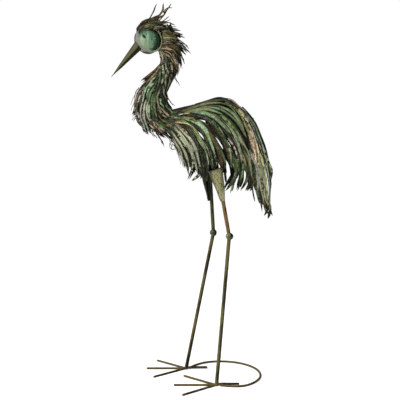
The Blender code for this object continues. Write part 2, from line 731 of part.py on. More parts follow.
def make_leg(side, foot, knee, hip_share, inward):
    """Lower rod, ball, upper rod and thigh; returns the room that the upper rod and the thigh take from the body."""
    hip = flank(*hip_share)[0]
    out = flank_normal(*hip_share)[0]
    if inward < 0:
        hip, out = flip(hip), flip(out)
    under = hip - out * (SHELL_WALL / 2 - HIP_SEAT)
    ankle = (*foot, 2 * FACET + GAP)
    ball(side + "_knee", knee, KNEE_RADIUS, bird)
    room = ball(side + "_knee_room", knee, KNEE_RADIUS + GAP, cutters)
    lower = rod(side + "_lower_leg", (ankle, knee), LEG_RADIUS)
    mitre(lower, ankle, ankle, (0, 0, 1))
    cut(lower, room)
    upper = rod(side + "_upper_leg", (knee, hip), LEG_RADIUS)
    mitre(upper, hip, under, out)
    cut(upper, room)
    make_thigh(side + "_thigh", knee, hip, inward)
    low = KNEE_RADIUS + THIGH_START
    clear = THIGH_WALL + 2 * GAP
    leg_room = cone_room(
        side + "_leg_room", knee, hip, 0, (Vector(hip) - Vector(knee)).length,
        LEG_RADIUS + 2 * GAP, LEG_RADIUS + 2 * GAP,
    )
    mitre(leg_room, hip, under + out * GAP, out, THIGH_SEGMENTS)
    thigh_room = cone_room(
        side + "_thigh_room", knee, hip, low - GAP, low + THIGH_LENGTH + GAP,
        THIGH_LOW_RADIUS + clear, THIGH_TOP_RADIUS + clear,
    )
    return leg_room, thigh_room


def block(name, corner, size, turn=0.0):
    """A box cutter with its middle of one face at a point, reaching away along its own +X."""

    def build(bm):
        bmesh.ops.create_cube(bm, size=size)
        bmesh.ops.translate(bm, verts=bm.verts, vec=(size / 2, 0, 0))

    room = add(name, mesh_from(name, build), cutters)
    room.matrix_world = Matrix.Translation(corner) @ Matrix.Rotation(turn, 4, "Y")
    return room


def stand_over_origin():
    """Hangs every piece on one empty and moves that so that the bird's box is centred over the origin."""
    holder = bpy.data.objects.new("heron", None)
    bird.objects.link(holder)
    bpy.context.view_layer.update()
    graph = bpy.context.evaluated_depsgraph_get()
    low = np.full(3, np.inf)
    high = np.full(3, -np.inf)
    pieces = [obj for obj in bird.objects if obj != holder]
    for obj in pieces:
        evaluated = obj.evaluated_get(graph)
        mesh = evaluated.to_mesh()
        points = np.empty(len(mesh.vertices) * 3)
        mesh.vertices.foreach_get("co", points)
        world = np.array(obj.matrix_world)
        points = points.reshape(-1, 3) @ world[:3, :3].T + world[:3, 3]
        low = np.minimum(low, points.min(axis=0))
        high = np.maximum(high, points.max(axis=0))
        evaluated.to_mesh_clear()
    for obj in pieces + list(cutters.objects):
        place = obj.matrix_world.copy()
        obj.parent = holder
        obj.matrix_world = place
    holder.location = -(low[0] + high[0]) / 2, -(low[1] + high[1]) / 2, -low[2]


make_foot("left", FOOT_LEFT, -1)
make_foot("right", FOOT_RIGHT, 1)
make_loop()
left_rooms = make_leg("left", FOOT_LEFT, KNEE_LEFT, HIP_LEFT, 1)
right_rooms = make_leg("right", FOOT_RIGHT, KNEE_RIGHT, HIP_RIGHT, -1)
make_head()
head = head_room()
make_beak(head)

across_end = Vector(NECK_BACK[-1]) - Vector(NECK_FRONT[-1])
neck_end = (Vector(NECK_BACK[-1]) + Vector(NECK_FRONT[-1])) / 2
slant = math.pi / 2 - math.atan2(across_end[1], across_end[0])
shoulder = Vector((neck_end[0], 0, neck_end[1]))
step = Vector((math.cos(slant), 0, -math.sin(slant))) * GAP
behind = block("behind_the_neck", shoulder, 0.5, slant)
ahead = block("ahead_of_the_body", shoulder + step, 0.5, slant + math.pi)
below = block("below_the_crest", (HEAD_CENTRE[0], 0, NECK_TOP_Z), 0.3, math.pi / 2)
above = block("above_the_nape", (HEAD_CENTRE[0], 0, NECK_TOP_Z - GAP), 0.3, -math.pi / 2)
make_neck(head, behind, above)
make_crest(head, below)
make_body(ahead, *left_rooms, *right_rooms)
stand_over_origin()
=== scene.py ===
"""Garden heron welded from cut sheet steel and round rod, in a worn green, brown and grey patina.

Metres, +Z up. The bird looks towards -X, its left side towards -Y and the camera.
"""

import math

import bpy
import numpy as np
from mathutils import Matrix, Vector


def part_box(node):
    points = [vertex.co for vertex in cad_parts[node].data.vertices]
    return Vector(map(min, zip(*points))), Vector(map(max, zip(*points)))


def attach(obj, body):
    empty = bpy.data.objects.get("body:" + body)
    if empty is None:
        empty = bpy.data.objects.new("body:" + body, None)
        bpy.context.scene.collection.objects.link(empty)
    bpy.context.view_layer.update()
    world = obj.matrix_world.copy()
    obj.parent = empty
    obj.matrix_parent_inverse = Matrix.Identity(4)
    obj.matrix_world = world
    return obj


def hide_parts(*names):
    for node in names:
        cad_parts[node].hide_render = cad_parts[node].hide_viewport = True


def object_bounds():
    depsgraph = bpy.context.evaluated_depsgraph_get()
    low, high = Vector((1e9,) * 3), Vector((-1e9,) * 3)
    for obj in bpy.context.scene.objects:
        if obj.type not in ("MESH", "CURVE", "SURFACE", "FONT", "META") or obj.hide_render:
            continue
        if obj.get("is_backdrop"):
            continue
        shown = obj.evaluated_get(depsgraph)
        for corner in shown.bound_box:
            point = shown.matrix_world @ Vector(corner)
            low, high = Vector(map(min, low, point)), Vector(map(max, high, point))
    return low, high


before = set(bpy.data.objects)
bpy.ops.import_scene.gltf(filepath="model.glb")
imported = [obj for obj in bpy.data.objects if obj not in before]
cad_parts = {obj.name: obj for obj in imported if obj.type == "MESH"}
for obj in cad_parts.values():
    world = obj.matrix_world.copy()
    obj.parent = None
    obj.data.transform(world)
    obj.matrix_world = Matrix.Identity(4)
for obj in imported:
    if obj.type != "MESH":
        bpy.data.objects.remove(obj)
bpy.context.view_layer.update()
rng = np.random.default_rng(11)


# The stand for the bird
#
# A plain pale floor in a white room, soft lamps, and one camera square to the bird's left side, a little above
# its middle and tipped slightly down.


def box_middle(node):
    """The middle of the box of a solid."""
    return np.add(*(np.array(corner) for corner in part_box(node))) / 2


KNEE_IN_DRAWING = np.array((0.078, -0.052, 0.402))  # of the left leg, measured from below the middle of the body
SHIFT = box_middle("left_knee") - KNEE_IN_DRAWING
LEVEL_SHIFT = SHIFT * (1, 1, 0)
CAMERA_DISTANCE = 1.695
CAMERA_PLACE = np.array((SHIFT[0], SHIFT[1] - CAMERA_DISTANCE, 0.606))
CAMERA_TIP = math.radians(3.72)
CAMERA_LENS = 55.8
CAMERA_SENSOR = 36
FLOOR_HALF = 4.0
FLOOR_WHITE = (0.90, 0.90, 0.89, 1.0)
WORLD_WHITE = (1.0, 1.0, 1.0, 1.0)
WORLD_LIGHT = 0.25
LIT_PLACE = (0, 0, 0.65)


def paint(red, green, blue):
    """A colour as painters mix it, 0 to 255 a part, turned into the linear colour that light follows."""
    part = np.array((red, green, blue)) / 255
    linear = np.where(part <= 0.04045, part / 12.92, ((part + 0.055) / 1.055) ** 2.4)
    return (*linear.tolist(), 1.0)


def placed(name, data):
    """A new object in the scene."""
    obj = bpy.data.objects.new(name, data)
    bpy.context.scene.collection.objects.link(obj)
    return obj


def make_camera():
    camera = placed("camera", bpy.data.cameras.new("camera"))
    camera.location = CAMERA_PLACE
    camera.rotation_euler = math.pi / 2 - CAMERA_TIP, 0, 0
    camera.data.sensor_width = CAMERA_SENSOR
    camera.data.lens = CAMERA_LENS
    bpy.context.scene.camera = camera


def lamp(name, kind, power, **settings):
    data = bpy.data.lights.new(name, kind)
    data.energy = power
    for key, value in settings.items():
        setattr(data, key, value)
    return placed(name, data)


def soft_light(name, place, size, power, colour):
    """A square lamp at place that faces the middle of the bird."""
    obj = lamp(name, "AREA", power, size=size, color=colour)
    obj.location = place
    obj.rotation_euler = (Vector(place) - Vector(LIT_PLACE)).to_track_quat("Z", "Y").to_euler()


def make_floor():
    mesh = bpy.data.meshes.new("floor")
    corners = [(right * FLOOR_HALF, back * FLOOR_HALF, 0) for right, back in ((-1, -1), (1, -1), (1, 1), (-1, 1))]
    mesh.from_pydata(corners, [], [(0, 1, 2, 3)])
    material = bpy.data.materials.new("pale_floor")
    material.use_nodes = True
    shader = material.node_tree.nodes["Principled BSDF"]
    shader.inputs["Base Color"].default_value = FLOOR_WHITE
    shader.inputs["Roughness"].default_value = 0.9
    mesh.materials.append(material)
    placed("floor", mesh)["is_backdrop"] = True


def make_world():
    """A white room that lights the bird softly."""
    world = bpy.data.worlds.new("studio")
    bpy.context.scene.world = world
    world.use_nodes = True
    nodes, links = world.node_tree.nodes, world.node_tree.links
    sky = nodes["Background"]
    sky.inputs["Color"].default_value = WORLD_WHITE
    rays = nodes.new("ShaderNodeLightPath")
    level = nodes.new("ShaderNodeMapRange")
    level.inputs["To Min"].default_value = WORLD_LIGHT
    level.inputs["To Max"].default_value = 1.0
    links.new(rays.outputs["Is Camera Ray"], level.inputs["Value"])
    links.new(level.outputs["Result"], sky.inputs["Strength"])


bpy.context.scene.view_settings.view_transform = "Standard"
make_camera()
make_floor()
make_world()
sun = lamp("top", "SUN", 3.6, angle=math.radians(75))
sun.rotation_euler = math.radians(28), math.radians(-16), 0
soft_light("key", (-1.5, -2.3, 1.8), 1.1, 78, (1.0, 0.99, 0.96))
soft_light("fill", (2.2, -1.6, 1.3), 1.4, 20, (0.97, 0.99, 1.0))


# Feet and ring
#
# Six millimetre rod, cut to toes and laid flat. The middle toe runs on behind the leg, and one rod bent to a
# ring lies behind the bird and ties the feet. A small bead lies over each foot's roots.

TOE_RADIUS = 0.0030
TOE_LENGTH = 0.115
REAR_TOE_LENGTH = 0.061
TOE_SPREAD = math.radians(39)
TOE_ROOT_SETBACK = 0.006
REAR_TOE_LIFT = 0.0032
TOE_OVERLAP = 0.002
REAR_FROM = 0.004
REAR_FADE = 0.012
ROD_SIDES = 14
SAWN_END = 0.72
BEAD_PLACE = (-0.001, 0, 0.0045)
BEAD_RADIUS = 0.0072
BEAD_HEIGHT = 0.0038
SHARP_EDGE = math.radians(42)
UNEVENNESS = 0.012
SHEEN = 0.10
FOOT_LEFT = np.array((0.0445, -0.067, 0.0)) + LEVEL_SHIFT
FOOT_RIGHT = np.array((-0.0395, 0.0665, 0.0)) + LEVEL_SHIFT
RING_RADIUS = 0.109
RING_CENTRE = np.array((0.061, 0.019)) + SHIFT[:2]
RING_EASE = math.radians(42)
RING_SETBACK = 0.009
OLIVE = paint(62, 58, 28)
UMBER = paint(68, 50, 30)
BARK = paint(30, 25, 16)
MOSS = paint(58, 66, 42)
TAN = paint(124, 108, 74)
KHAKI_ROD = paint(96, 84, 54)


def unit(vectors):
    return vectors / np.linalg.norm(vectors, axis=-1, keepdims=True)


def mesh_piece(name, points, faces, material, values=None):
    """An object from arrays of points and faces, with any values per point kept as vectors or colours."""
    mesh = bpy.data.meshes.new(name)
    mesh.from_pydata(points.reshape(-1, 3).tolist(), [], [face for block in faces for face in block.tolist()])
    for key, array in (values or {}).items():
        kind, field = ("FLOAT_COLOR", "color") if array.shape[-1] == 4 else ("FLOAT_VECTOR", "vector")
        layer = mesh.attributes.new(key, kind, "POINT")
        layer.data.foreach_set(field, array.ravel().astype(np.float32))
    mesh.materials.append(material)
    mesh.shade_smooth()
    mesh.set_sharp_from_angle(angle=SHARP_EDGE)
    mesh.update()
    return placed(name, mesh)


def skin_faces(rows, columns, start=0):
    """The quads of a tube whose points are rows of columns, and the two caps that close it."""
    row, column = np.meshgrid(np.arange(rows - 1), np.arange(columns), indexing="ij")
    here = row * columns + column
    beside = row * columns + (column + 1) % columns
    quads = np.stack([here, beside, beside + columns, here + columns], axis=-1).reshape(-1, 4) + start
    first = np.arange(columns)[::-1][None] + start
    last = np.arange(columns)[None] + (rows - 1) * columns + start
    return [quads, first, last]


def tube_points(path, radius):
    """A circle of the given radius carried along a path, square to it and never twisting about it."""
    path = np.asarray(path, float)
    along = unit(np.gradient(path, axis=0))
    up = np.where(np.abs(along[:, 2:]) > 0.8, (1.0, 0, 0), (0, 0, 1.0))
    across = unit(np.cross(along, up))
    over = np.cross(along, across)
    angle = np.arange(ROD_SIDES) * 2 * math.pi / ROD_SIDES
    circle = across[:, None] * np.cos(angle)[:, None] + over[:, None] * np.sin(angle)[:, None]
    return path[:, None] + circle * np.broadcast_to(radius, len(path))[:, None, None]


def bar(start, end, count):
    return start + (end - start) * np.linspace(0, 1, count)[:, None]


def lumps(path):
    """A hammered unevenness along a rod: three waves of unlike lengths added together."""
    far = path @ np.array((190.0, 230.0, 210.0))
    return 1 + UNEVENNESS * (np.sin(far) + 0.6 * np.sin(1.7 * far + 1.0) + 0.4 * np.sin(3.1 * far + 2.0))


def rounded(radius, count):
    """The radius along a rod whose two ends are sawn off and broken round."""
    full = np.full(count, radius)
    full[[0, -1]] *= SAWN_END
    return full


def join_skins(skins):
    """Several tubes of points as one array of points and one list of faces."""
    points, faces, start = [], [], 0
    for skin in skins:
        faces += skin_faces(*skin.shape[:2], start)
        points.append(skin.reshape(-1, 3))
        start += skin.shape[0] * skin.shape[1]
    return np.concatenate(points), faces


def rod_piece(name, skins, material, rear=None):
    """A piece of joined tubes that keeps for each point which way it faces: across, behind a line, and up."""
    points, faces = join_skins(skins)
    ways = np.concatenate([unit(skin - skin.mean(axis=1, keepdims=True) + 1e-9).reshape(-1, 3) for skin in skins])
    ways[:, 1] = 0 if rear is None else np.clip((points[:, 0] - rear) / REAR_FADE, 0, 1)
    return mesh_piece(name, points, faces, material, {"ways": ways})


def bead(centre, radius, height, around=12, rows=7):
    """A weld bead: a squashed ball, its radius uneven round it."""
    polar = np.linspace(0.02, math.pi - 0.02, rows)[:, None]
    turn = np.arange(around) * 2 * math.pi / around
    uneven = radius * (1 + 0.10 * np.sin(3 * turn + centre[0] * 900) + 0.06 * np.sin(5 * turn))
    flat = np.stack([np.cos(turn) * uneven, np.sin(turn) * uneven, np.zeros(around)], axis=-1)
    rise = np.array((0, 0, height))
    return centre + flat * np.sin(polar)[..., None] - rise * np.cos(polar)[..., None]


# the noises that weather the metal: detail, and the part of the noise that is spread from 0 to 1
NOISES = {"Patches": (3.0, 0.36, 0.64), "Streaks": (4.0, 0.30, 0.70), "Specks": (2.0, 0.56, 0.72)}


def weathering():
    """Broad patches, streaks and specks from one stretched place on the metal."""
    group = bpy.data.node_groups.new("weathering", "ShaderNodeTree")
    group.interface.new_socket(name="Place", in_out="INPUT", socket_type="NodeSocketVector")
    for name in NOISES:
        group.interface.new_socket(name=name + " Scale", in_out="INPUT", socket_type="NodeSocketFloat")
        group.interface.new_socket(name=name, in_out="OUTPUT", socket_type="NodeSocketFloat")
    nodes, links = group.nodes, group.links
    inside, outside = nodes.new("NodeGroupInput"), nodes.new("NodeGroupOutput")
    for name, (detail, low, high) in NOISES.items():
        noise, ramp = nodes.new("ShaderNodeTexNoise"), nodes.new("ShaderNodeMapRange")
        noise.inputs["Detail"].default_value = detail
        noise.inputs["Roughness"].default_value = 0.6
        ramp.inputs["From Min"].default_value = low
        ramp.inputs["From Max"].default_value = high
        links.new(inside.outputs["Place"], noise.inputs["Vector"])
        links.new(inside.outputs[name + " Scale"], noise.inputs["Scale"])
        links.new(noise.outputs["Fac"], ramp.inputs["Value"])
        links.new(ramp.outputs["Result"], outside.inputs[name])
    return group


WEATHERING = weathering()


class Finish:
    """A Principled material painted in coats: each one covers the colour so far by its share."""

    def __init__(self, name, metallic, roughness, ground=None):
        self.material = bpy.data.materials.new(name)
        self.material.use_nodes = True
        self.nodes = self.material.node_tree.nodes
        self.links = self.material.node_tree.links
        self.shader = self.nodes["Principled BSDF"]
        self.now = ground
        self.set_inputs(self.shader, {"Metallic": metallic, "Roughness": roughness, "Specular IOR Level": SHEEN})

    def set_inputs(self, node, inputs):
        """Links or sets inputs, each by its name or number."""
        for key, value in inputs.items():
            if isinstance(value, bpy.types.NodeSocket):
                self.links.new(value, node.inputs[key])
            else:
                node.inputs[key].default_value = value

    def node(self, kind, inputs, **settings):
        """The outputs of a new node."""
        node = self.nodes.new(kind)
        for key, value in settings.items():
            setattr(node, key, value)
        self.set_inputs(node, inputs)
        return node.outputs

    def attribute(self, name):
        return self.node("ShaderNodeAttribute", {}, attribute_name=name)

    def parts(self, name):
        """The three parts of a vector that is kept for each point."""
        return [*self.node("ShaderNodeSeparateXYZ", {0: self.attribute(name)["Vector"]})]

    def stretched(self, vector, scale, turn=(0, 0, 0)):
        return self.node("ShaderNodeMapping", {"Vector": vector, "Rotation": turn, "Scale": scale})["Vector"]

    def object_place(self, stretch=(1, 1, 1)):
        return self.stretched(self.node("ShaderNodeTexCoord", {})["Object"], stretch)

    def weathered(self, place, *scales):
        """Patches, streaks and specks at a place, each at its scale."""
        inputs = {name + " Scale": scale for name, scale in zip(NOISES, scales)}
        group = self.node("ShaderNodeGroup", {"Place": place, **inputs}, node_tree=WEATHERING)
        return [group[name] for name in NOISES]

    def mix(self, share, first, second, blend="MIX"):
        return self.node("ShaderNodeMix", {0: share, 6: first, 7: second}, data_type="RGBA", blend_type=blend)[2]

    def math(self, operation, *values):
        return self.node("ShaderNodeMath", dict(enumerate(values)), operation=operation)[0]

    def times(self, first, second):
        return self.math("MULTIPLY", first, second)

    def stirred(self, value, noise, amount):
        """value + amount * (noise - 0.5)"""
        return self.math("MULTIPLY_ADD", self.math("SUBTRACT", noise, 0.5), amount, value)

    def ranged(self, value, low, high, start=0.0, end=1.0):
        """A smooth step from start at low to end at high."""
        inputs = {"Value": value, "From Min": low, "From Max": high, "To Min": start, "To Max": end}
        return self.node("ShaderNodeMapRange", inputs, interpolation_type="SMOOTHSTEP")["Result"]

    def coat(self, share, colour, low=None, high=None, most=1.0):
        """Covers the colour so far by a share, or by a smooth step up to most while the share goes from low to high."""
        if low is not None:
            share = self.ranged(share, low, high, 0.0, most)
        self.now = self.mix(share, self.now, colour)

    def done(self, streaks, smooth, rough, relief, strength, height):
        """The material, from smooth to rough along its streaks and with a low relief."""
        relief = {"Height": relief, "Strength": strength, "Distance": height}
        inputs = {
            "Base Color": self.now, "Roughness": self.ranged(streaks, 0, 1, smooth, rough),
            "Normal": self.node("ShaderNodeBump", relief)["Normal"],
        }
        self.set_inputs(self.shader, inputs)
        return self.material


def rod_finish(name, base, patch_colour, dark, pale_streak_and_highlight):
    """Rod patina: patches of a second colour, pale streaks and dark specks, with painted shade behind and below and a
    painted highlight ahead and above.
    """
    finish = Finish(name, 0.35, 0.45, base)
    patches, streaks, specks = finish.weathered(finish.object_place((1, 1, 0.45)), 45.0, 260.0, 420.0)
    finish.coat(patches, patch_colour)
    finish.coat(finish.times(streaks, 0.45), pale_streak_and_highlight)
    finish.coat(finish.times(specks, 0.75), dark)
    across, rear, up = finish.parts("ways")
    # painted shade on the side that faces behind and below, and a painted highlight on the side that faces ahead and
    # above
    shaded_side = finish.stirred(finish.math("SUBTRACT", across, up), patches, 1.2)
    finish.coat(shaded_side, dark, -0.2, 0.4, 0.95)
    finish.coat(shaded_side, pale_streak_and_highlight, -0.5, -1.0, 0.5)
    finish.coat(rear, dark)
    return finish.done(streaks, 0.34, 0.58, streaks, 0.4, 0.0006)


TOE_FINISH = rod_finish("toe_patina", UMBER, OLIVE, BARK, KHAKI_ROD)


def foot_skins(foot, outward):
    """A middle toe whose rear end sits a little higher, two spread toes and a bead over their roots."""
    level = np.array((0, 0, TOE_RADIUS))
    middle = bar(foot + level + (-TOE_LENGTH, 0, 0), foot + level + (REAR_TOE_LENGTH, 0, 0), 80)
    middle[:, 2] += REAR_TOE_LIFT * np.clip((middle[:, 0] - foot[0]) / TOE_ROOT_SETBACK, 0, 1)
    paths = [middle]
    for turn in (outward, -outward):
        root = foot + level + (-TOE_ROOT_SETBACK + TOE_OVERLAP, turn * TOE_OVERLAP, 0)
        reach = TOE_LENGTH - TOE_ROOT_SETBACK * math.cos(TOE_SPREAD)
        paths.append(bar(root, root + (-reach * math.cos(TOE_SPREAD), turn * (reach * math.sin(TOE_SPREAD)), 0), 28))
    skins = [tube_points(path, rounded(TOE_RADIUS, len(path)) * np.minimum(lumps(path), 1)) for path in paths]
    return skins + [bead(foot + BEAD_PLACE, BEAD_RADIUS, BEAD_HEIGHT)]


def ring_path(count):
    """A circle behind the feet that eases in at each end to meet the outer side of its foot."""
    start = FOOT_RIGHT[:2] + (RING_SETBACK, TOE_RADIUS)
    end = FOOT_LEFT[:2] + (RING_SETBACK, -TOE_RADIUS)
    first = math.atan2(*(start - RING_CENTRE)[::-1])
    last = math.atan2(*(end - RING_CENTRE)[::-1])
    angle = np.linspace(first, last, count)
    radius = np.full(count, RING_RADIUS)
    for meeting, at in ((start, first), (end, last)):
        ease = np.clip(1 - np.abs(angle - at) / RING_EASE, 0, None)
        radius += (np.linalg.norm(meeting - RING_CENTRE) - RING_RADIUS) * ease * ease * (3 - 2 * ease)
    x = RING_CENTRE[0] + radius * np.cos(angle)
    y = RING_CENTRE[1] + radius * np.sin(angle)
    return np.stack([x, y, np.full(count, TOE_RADIUS)], axis=-1)


def welded(piece, slot, *nodes):
    """Hangs a finished piece on the one body of the whole bird and hides the solids it stands for. The slot is not
    used.
    """
    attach(piece, "root")
    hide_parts(*nodes)


for side, foot, outward in (("left", FOOT_LEFT, -1), ("right", FOOT_RIGHT, 1)):
    toes = rod_piece(side + "_foot", foot_skins(foot, outward), TOE_FINISH, foot[0] + REAR_FROM)
    welded(toes, "patina_rod", side + "_middle_toe", side + "_outer_toe", side + "_inner_toe")

ring_line = ring_path(90)
ring = rod_piece("ring", [tube_points(ring_line, rounded(TOE_RADIUS, len(ring_line)))], TOE_FINISH)
welded(ring, "patina_rod", "base_loop")


# Legs
#
# Round rod below and above a steel ball that stands for the joint, drawn a little stout as in the photo. The
# rods are painted olive with brown wear; the near upper rod has gone copper brown.

LEG_RADIUS = 0.0052
KNEE_RADIUS = 0.0102
KNEES = {side: box_middle(side + "_knee") for side in ("left", "right")}
HIPS = {"left": np.array((0.0060, -0.0340, 0.7380)), "right": np.array((0.0330, 0.0340, 0.7420))}
THIGH_FOOTS = {"left": np.array((0.0084, 0, -0.003)), "right": np.array((-0.0072, -0.004, -0.009))}
THIGH_START = 0.090
LEG_RISE = np.array((0, 0, 0.0058))
NEAR_ROD_TOP = 0.725
COPPER = paint(92, 60, 32)
SAGE = paint(115, 119, 92)
PINE = paint(34, 44, 28)
# near black: soot specks, and painted shade in the gaps between blades and strips, on their backs and on the neck tube
SOOT_AND_SHADE = paint(13, 13, 9)

LEG_FINISH = {
    "left": rod_finish("leg_patina", OLIVE, MOSS, BARK, KHAKI_ROD),
    "right": rod_finish("far_leg_patina", OLIVE, BARK, SOOT_AND_SHADE, KHAKI_ROD),
}
KNEE_FINISH = rod_finish("knee_patina", MOSS, PINE, SOOT_AND_SHADE, SAGE)
UPPER_FINISH = {
    "left": rod_finish("copper_patina", COPPER, UMBER, BARK, KHAKI_ROD),
    "right": rod_finish("grey_patina", MOSS, PINE, BARK, OLIVE),
}


def rod(name, start, end, count, material):
    """A straight leg rod, its radius a little uneven."""
    path = bar(start, end, count)
    return rod_piece(name, [tube_points(path, LEG_RADIUS * lumps(path))], material)


for side, foot in (("left", FOOT_LEFT), ("right", FOOT_RIGHT)):
    knee, rod_end = KNEES[side], HIPS[side]
    if side == "left":
        entry = knee + unit(rod_end - knee) * (KNEE_RADIUS + THIGH_START) + THIGH_FOOTS[side]
        rod_end = knee + (entry - knee) * (NEAR_ROD_TOP - knee[2]) / (entry[2] - knee[2])
    shin = rod(side + "_shin", foot + LEG_RISE, knee, 90, LEG_FINISH[side])
    welded(shin, "patina_rod", side + "_lower_leg")
    ball = rod_piece(side + "_ball", [bead(knee, KNEE_RADIUS, KNEE_RADIUS, 24, 13)], KNEE_FINISH)
    welded(ball, "patina_rod", side + "_knee")
    shank = rod(side + "_shank", knee, rod_end, 70, UPPER_FINISH[side])
    welded(shank, "patina_rod", side + "_upper_leg")


# Thighs
#
# Sheet hammered all over and rolled to a cone round the upper leg. Its slit is left open on the inner side,
# and the sheet is wound close round the rod at the lower end.

THIGH_LENGTH = 0.084
THIGH_TOPS = {"left": np.array((0.0092, 0, 0.0)), "right": np.array((-0.0149, -0.004, 0.0))}
THIGH_RADII = {"left": (0.0054, 0.0198), "right": (0.0022, 0.0125)}
THIGH_WALL = 0.0012
THIGH_SLIT = math.radians(50)
DIMPLE_DEPTH = 0.0009
DIMPLE_PITCH = 0.0104
PISTACHIO = paint(112, 112, 70)
DUST = paint(120, 115, 90)


def rolled_sheet(name, low, top, radii, inward, material):
    """A cone over height and turn with a gap in its turn, dented at the crossings of two sets of waves."""
    along = unit(top - low)
    length = np.linalg.norm(top - low)
    side = unit(np.cross(along, (0, 0, 1.0)))
    ahead = np.cross(side, along)
    slit_way = np.array((0.25, inward, 0))
    facing = math.atan2(slit_way @ ahead, slit_way @ side)
    rows, columns = 72, 112
    high = np.linspace(0, 1, rows)[:, None]
    turn = facing + THIGH_SLIT / 2 + np.linspace(0, 1, columns)[None] * (2 * math.pi - THIGH_SLIT)
    radius = radii[0] + (radii[1] - radii[0]) * high**0.9
    waves = np.sin(high * length * 2 * math.pi / DIMPLE_PITCH + 0.9 * np.sin(5 * turn))
    waves = waves * np.sin(turn * radius * 2 * math.pi / DIMPLE_PITCH + 1.3 * np.sin(high * 40))
    radius = radius - DIMPLE_DEPTH * np.clip(waves, 0.1, 1) + 0.0006 * np.sin(3 * turn + 9 * high)
    way = side * np.cos(turn)[..., None] + ahead * np.sin(turn)[..., None]
    reach = length * high + 0.0015 * high * np.sin(3 * turn + 1.0)
    points = low + along * reach[..., None] + way * radius[..., None]
    quads = skin_faces(rows, columns)[0].reshape(rows - 1, columns, 4)[:, :-1].reshape(-1, 4)
    # the third part is the way the sheet faces along the bird, used for painted shade on the side facing ahead
    dents = np.stack(np.broadcast_arrays(np.clip(waves, 0, 1), high, way[..., 0]), axis=-1)
    sheet = mesh_piece(name, points, [quads], material, {"dents": dents})
    wall = sheet.modifiers.new("wall", "SOLIDIFY")
    wall.thickness = THIGH_WALL
    wall.offset = 0
    return sheet


def thigh_finish(name, ground, patch):
    """Paint with dark in the dents, dusty patches, a dark upper lip and painted shade on the side that faces ahead."""
    finish = Finish(name, 0.3, 0.48, ground)
    patches, streaks, specks = finish.weathered(finish.object_place(), 60.0, 300.0, 500.0)
    dent, high, ahead = finish.parts("dents")
    finish.coat(patches, patch)
    finish.coat(finish.times(streaks, 0.2), patch)
    finish.coat(finish.times(finish.ranged(dent, 0.22, 0.5), finish.ranged(patches, 0.9, 0.3, 0.5, 0.95)), PINE)
    # painted shade along the side of the cone that faces ahead
    finish.coat(ahead, BARK, -0.55, -0.95, 0.75)
    finish.coat(high, BARK, 0.93, 1.0, 0.6)
    return finish.done(streaks, 0.38, 0.6, specks, 0.3, 0.0004)


THIGH_FINISH = {
    "left": thigh_finish("hammered_thigh", PISTACHIO, DUST),
    # the far thigh has the near one's finish in darker colours, as painted shade
    "right": thigh_finish("painted_shade_far_thigh", PINE, BARK),
}
for side, inward in (("left", 1), ("right", -1)):
    along = unit(HIPS[side] - KNEES[side])
    low = KNEES[side] + along * (KNEE_RADIUS + THIGH_START) + THIGH_FOOTS[side]
    top = KNEES[side] + along * (KNEE_RADIUS + THIGH_START + THIGH_LENGTH) + THIGH_TOPS[side]
    thigh = rolled_sheet(side + "_rolled_thigh", low, top, THIGH_RADII[side], inward, THIGH_FINISH[side])
    welded(thigh, "hammered_sage", side + "_thigh")


# Head
#
# Two domes pressed from thin sheet, each with a flat lip, welded to the two edges of a bent strip. Both are
# brushed with verdigris up and down and have hammer marks towards the neck. A small slot is punched for each
# eye.

HEAD_CENTRE = np.array((-0.139, 0.0, 0.926)) + LEVEL_SHIFT
HEAD_YAW = math.radians(25)
HEAD_WIDTH = 0.024
BAND_RADIUS = 0.0322
CHEEK_RADIUS = 0.0337
CHEEK_DEPTH = 0.0145
CHEEK_LIP = 0.0052
CHEEK_BACK = 0.0022
CHEEK_STRETCH = 1.035
EYE_PLACE = (0.0205, 0.0062)
EYE_HALF_SLOT = (0.0050, 0.0023)
EYE_SLANT = math.radians(68)
EYE_DENT = 0.0022
CHEEK_SHEET = 0.0016
CHEEK_CLEARANCE = 0.0012
STROKE_SLANT = math.radians(-38)
SPATTER_PLACE = (0.62, -0.68, 0.0)
STRIP_THICKNESS = 0.0040
STRIP_AHEAD = 0.0045
STRIP_UP = 0.0030
FORWARD = np.array((-math.cos(HEAD_YAW), -math.sin(HEAD_YAW), 0))
UPWARD = np.array((0, 0, 1.0))
RIGHTWARD = np.cross(FORWARD, UPWARD)
VERDIGRIS = paint(62, 84, 64)
MINT = paint(90, 116, 94)
JADE = paint(28, 52, 36)
PALE_MINT = paint(120, 130, 108)
# pale paint for the highlight on the lip
LIP_HIGHLIGHT = paint(200, 200, 170)
# near black paint for the shade in the eye slot
EYE_SLOT_SHADE = paint(10, 12, 9)
MUSTARD_SPOT = paint(110, 116, 40)
STEEL = paint(132, 132, 126)
LEAD = paint(98, 96, 88)
LILAC_GREY = paint(122, 120, 118)


def in_head(ahead, above, right):
    """A place given ahead of, above and to the right of the middle of the head."""
    return (
        HEAD_CENTRE + FORWARD * np.asarray(ahead)[..., None] + UPWARD * np.asarray(above)[..., None]
        + RIGHTWARD * np.asarray(right)[..., None]
    )


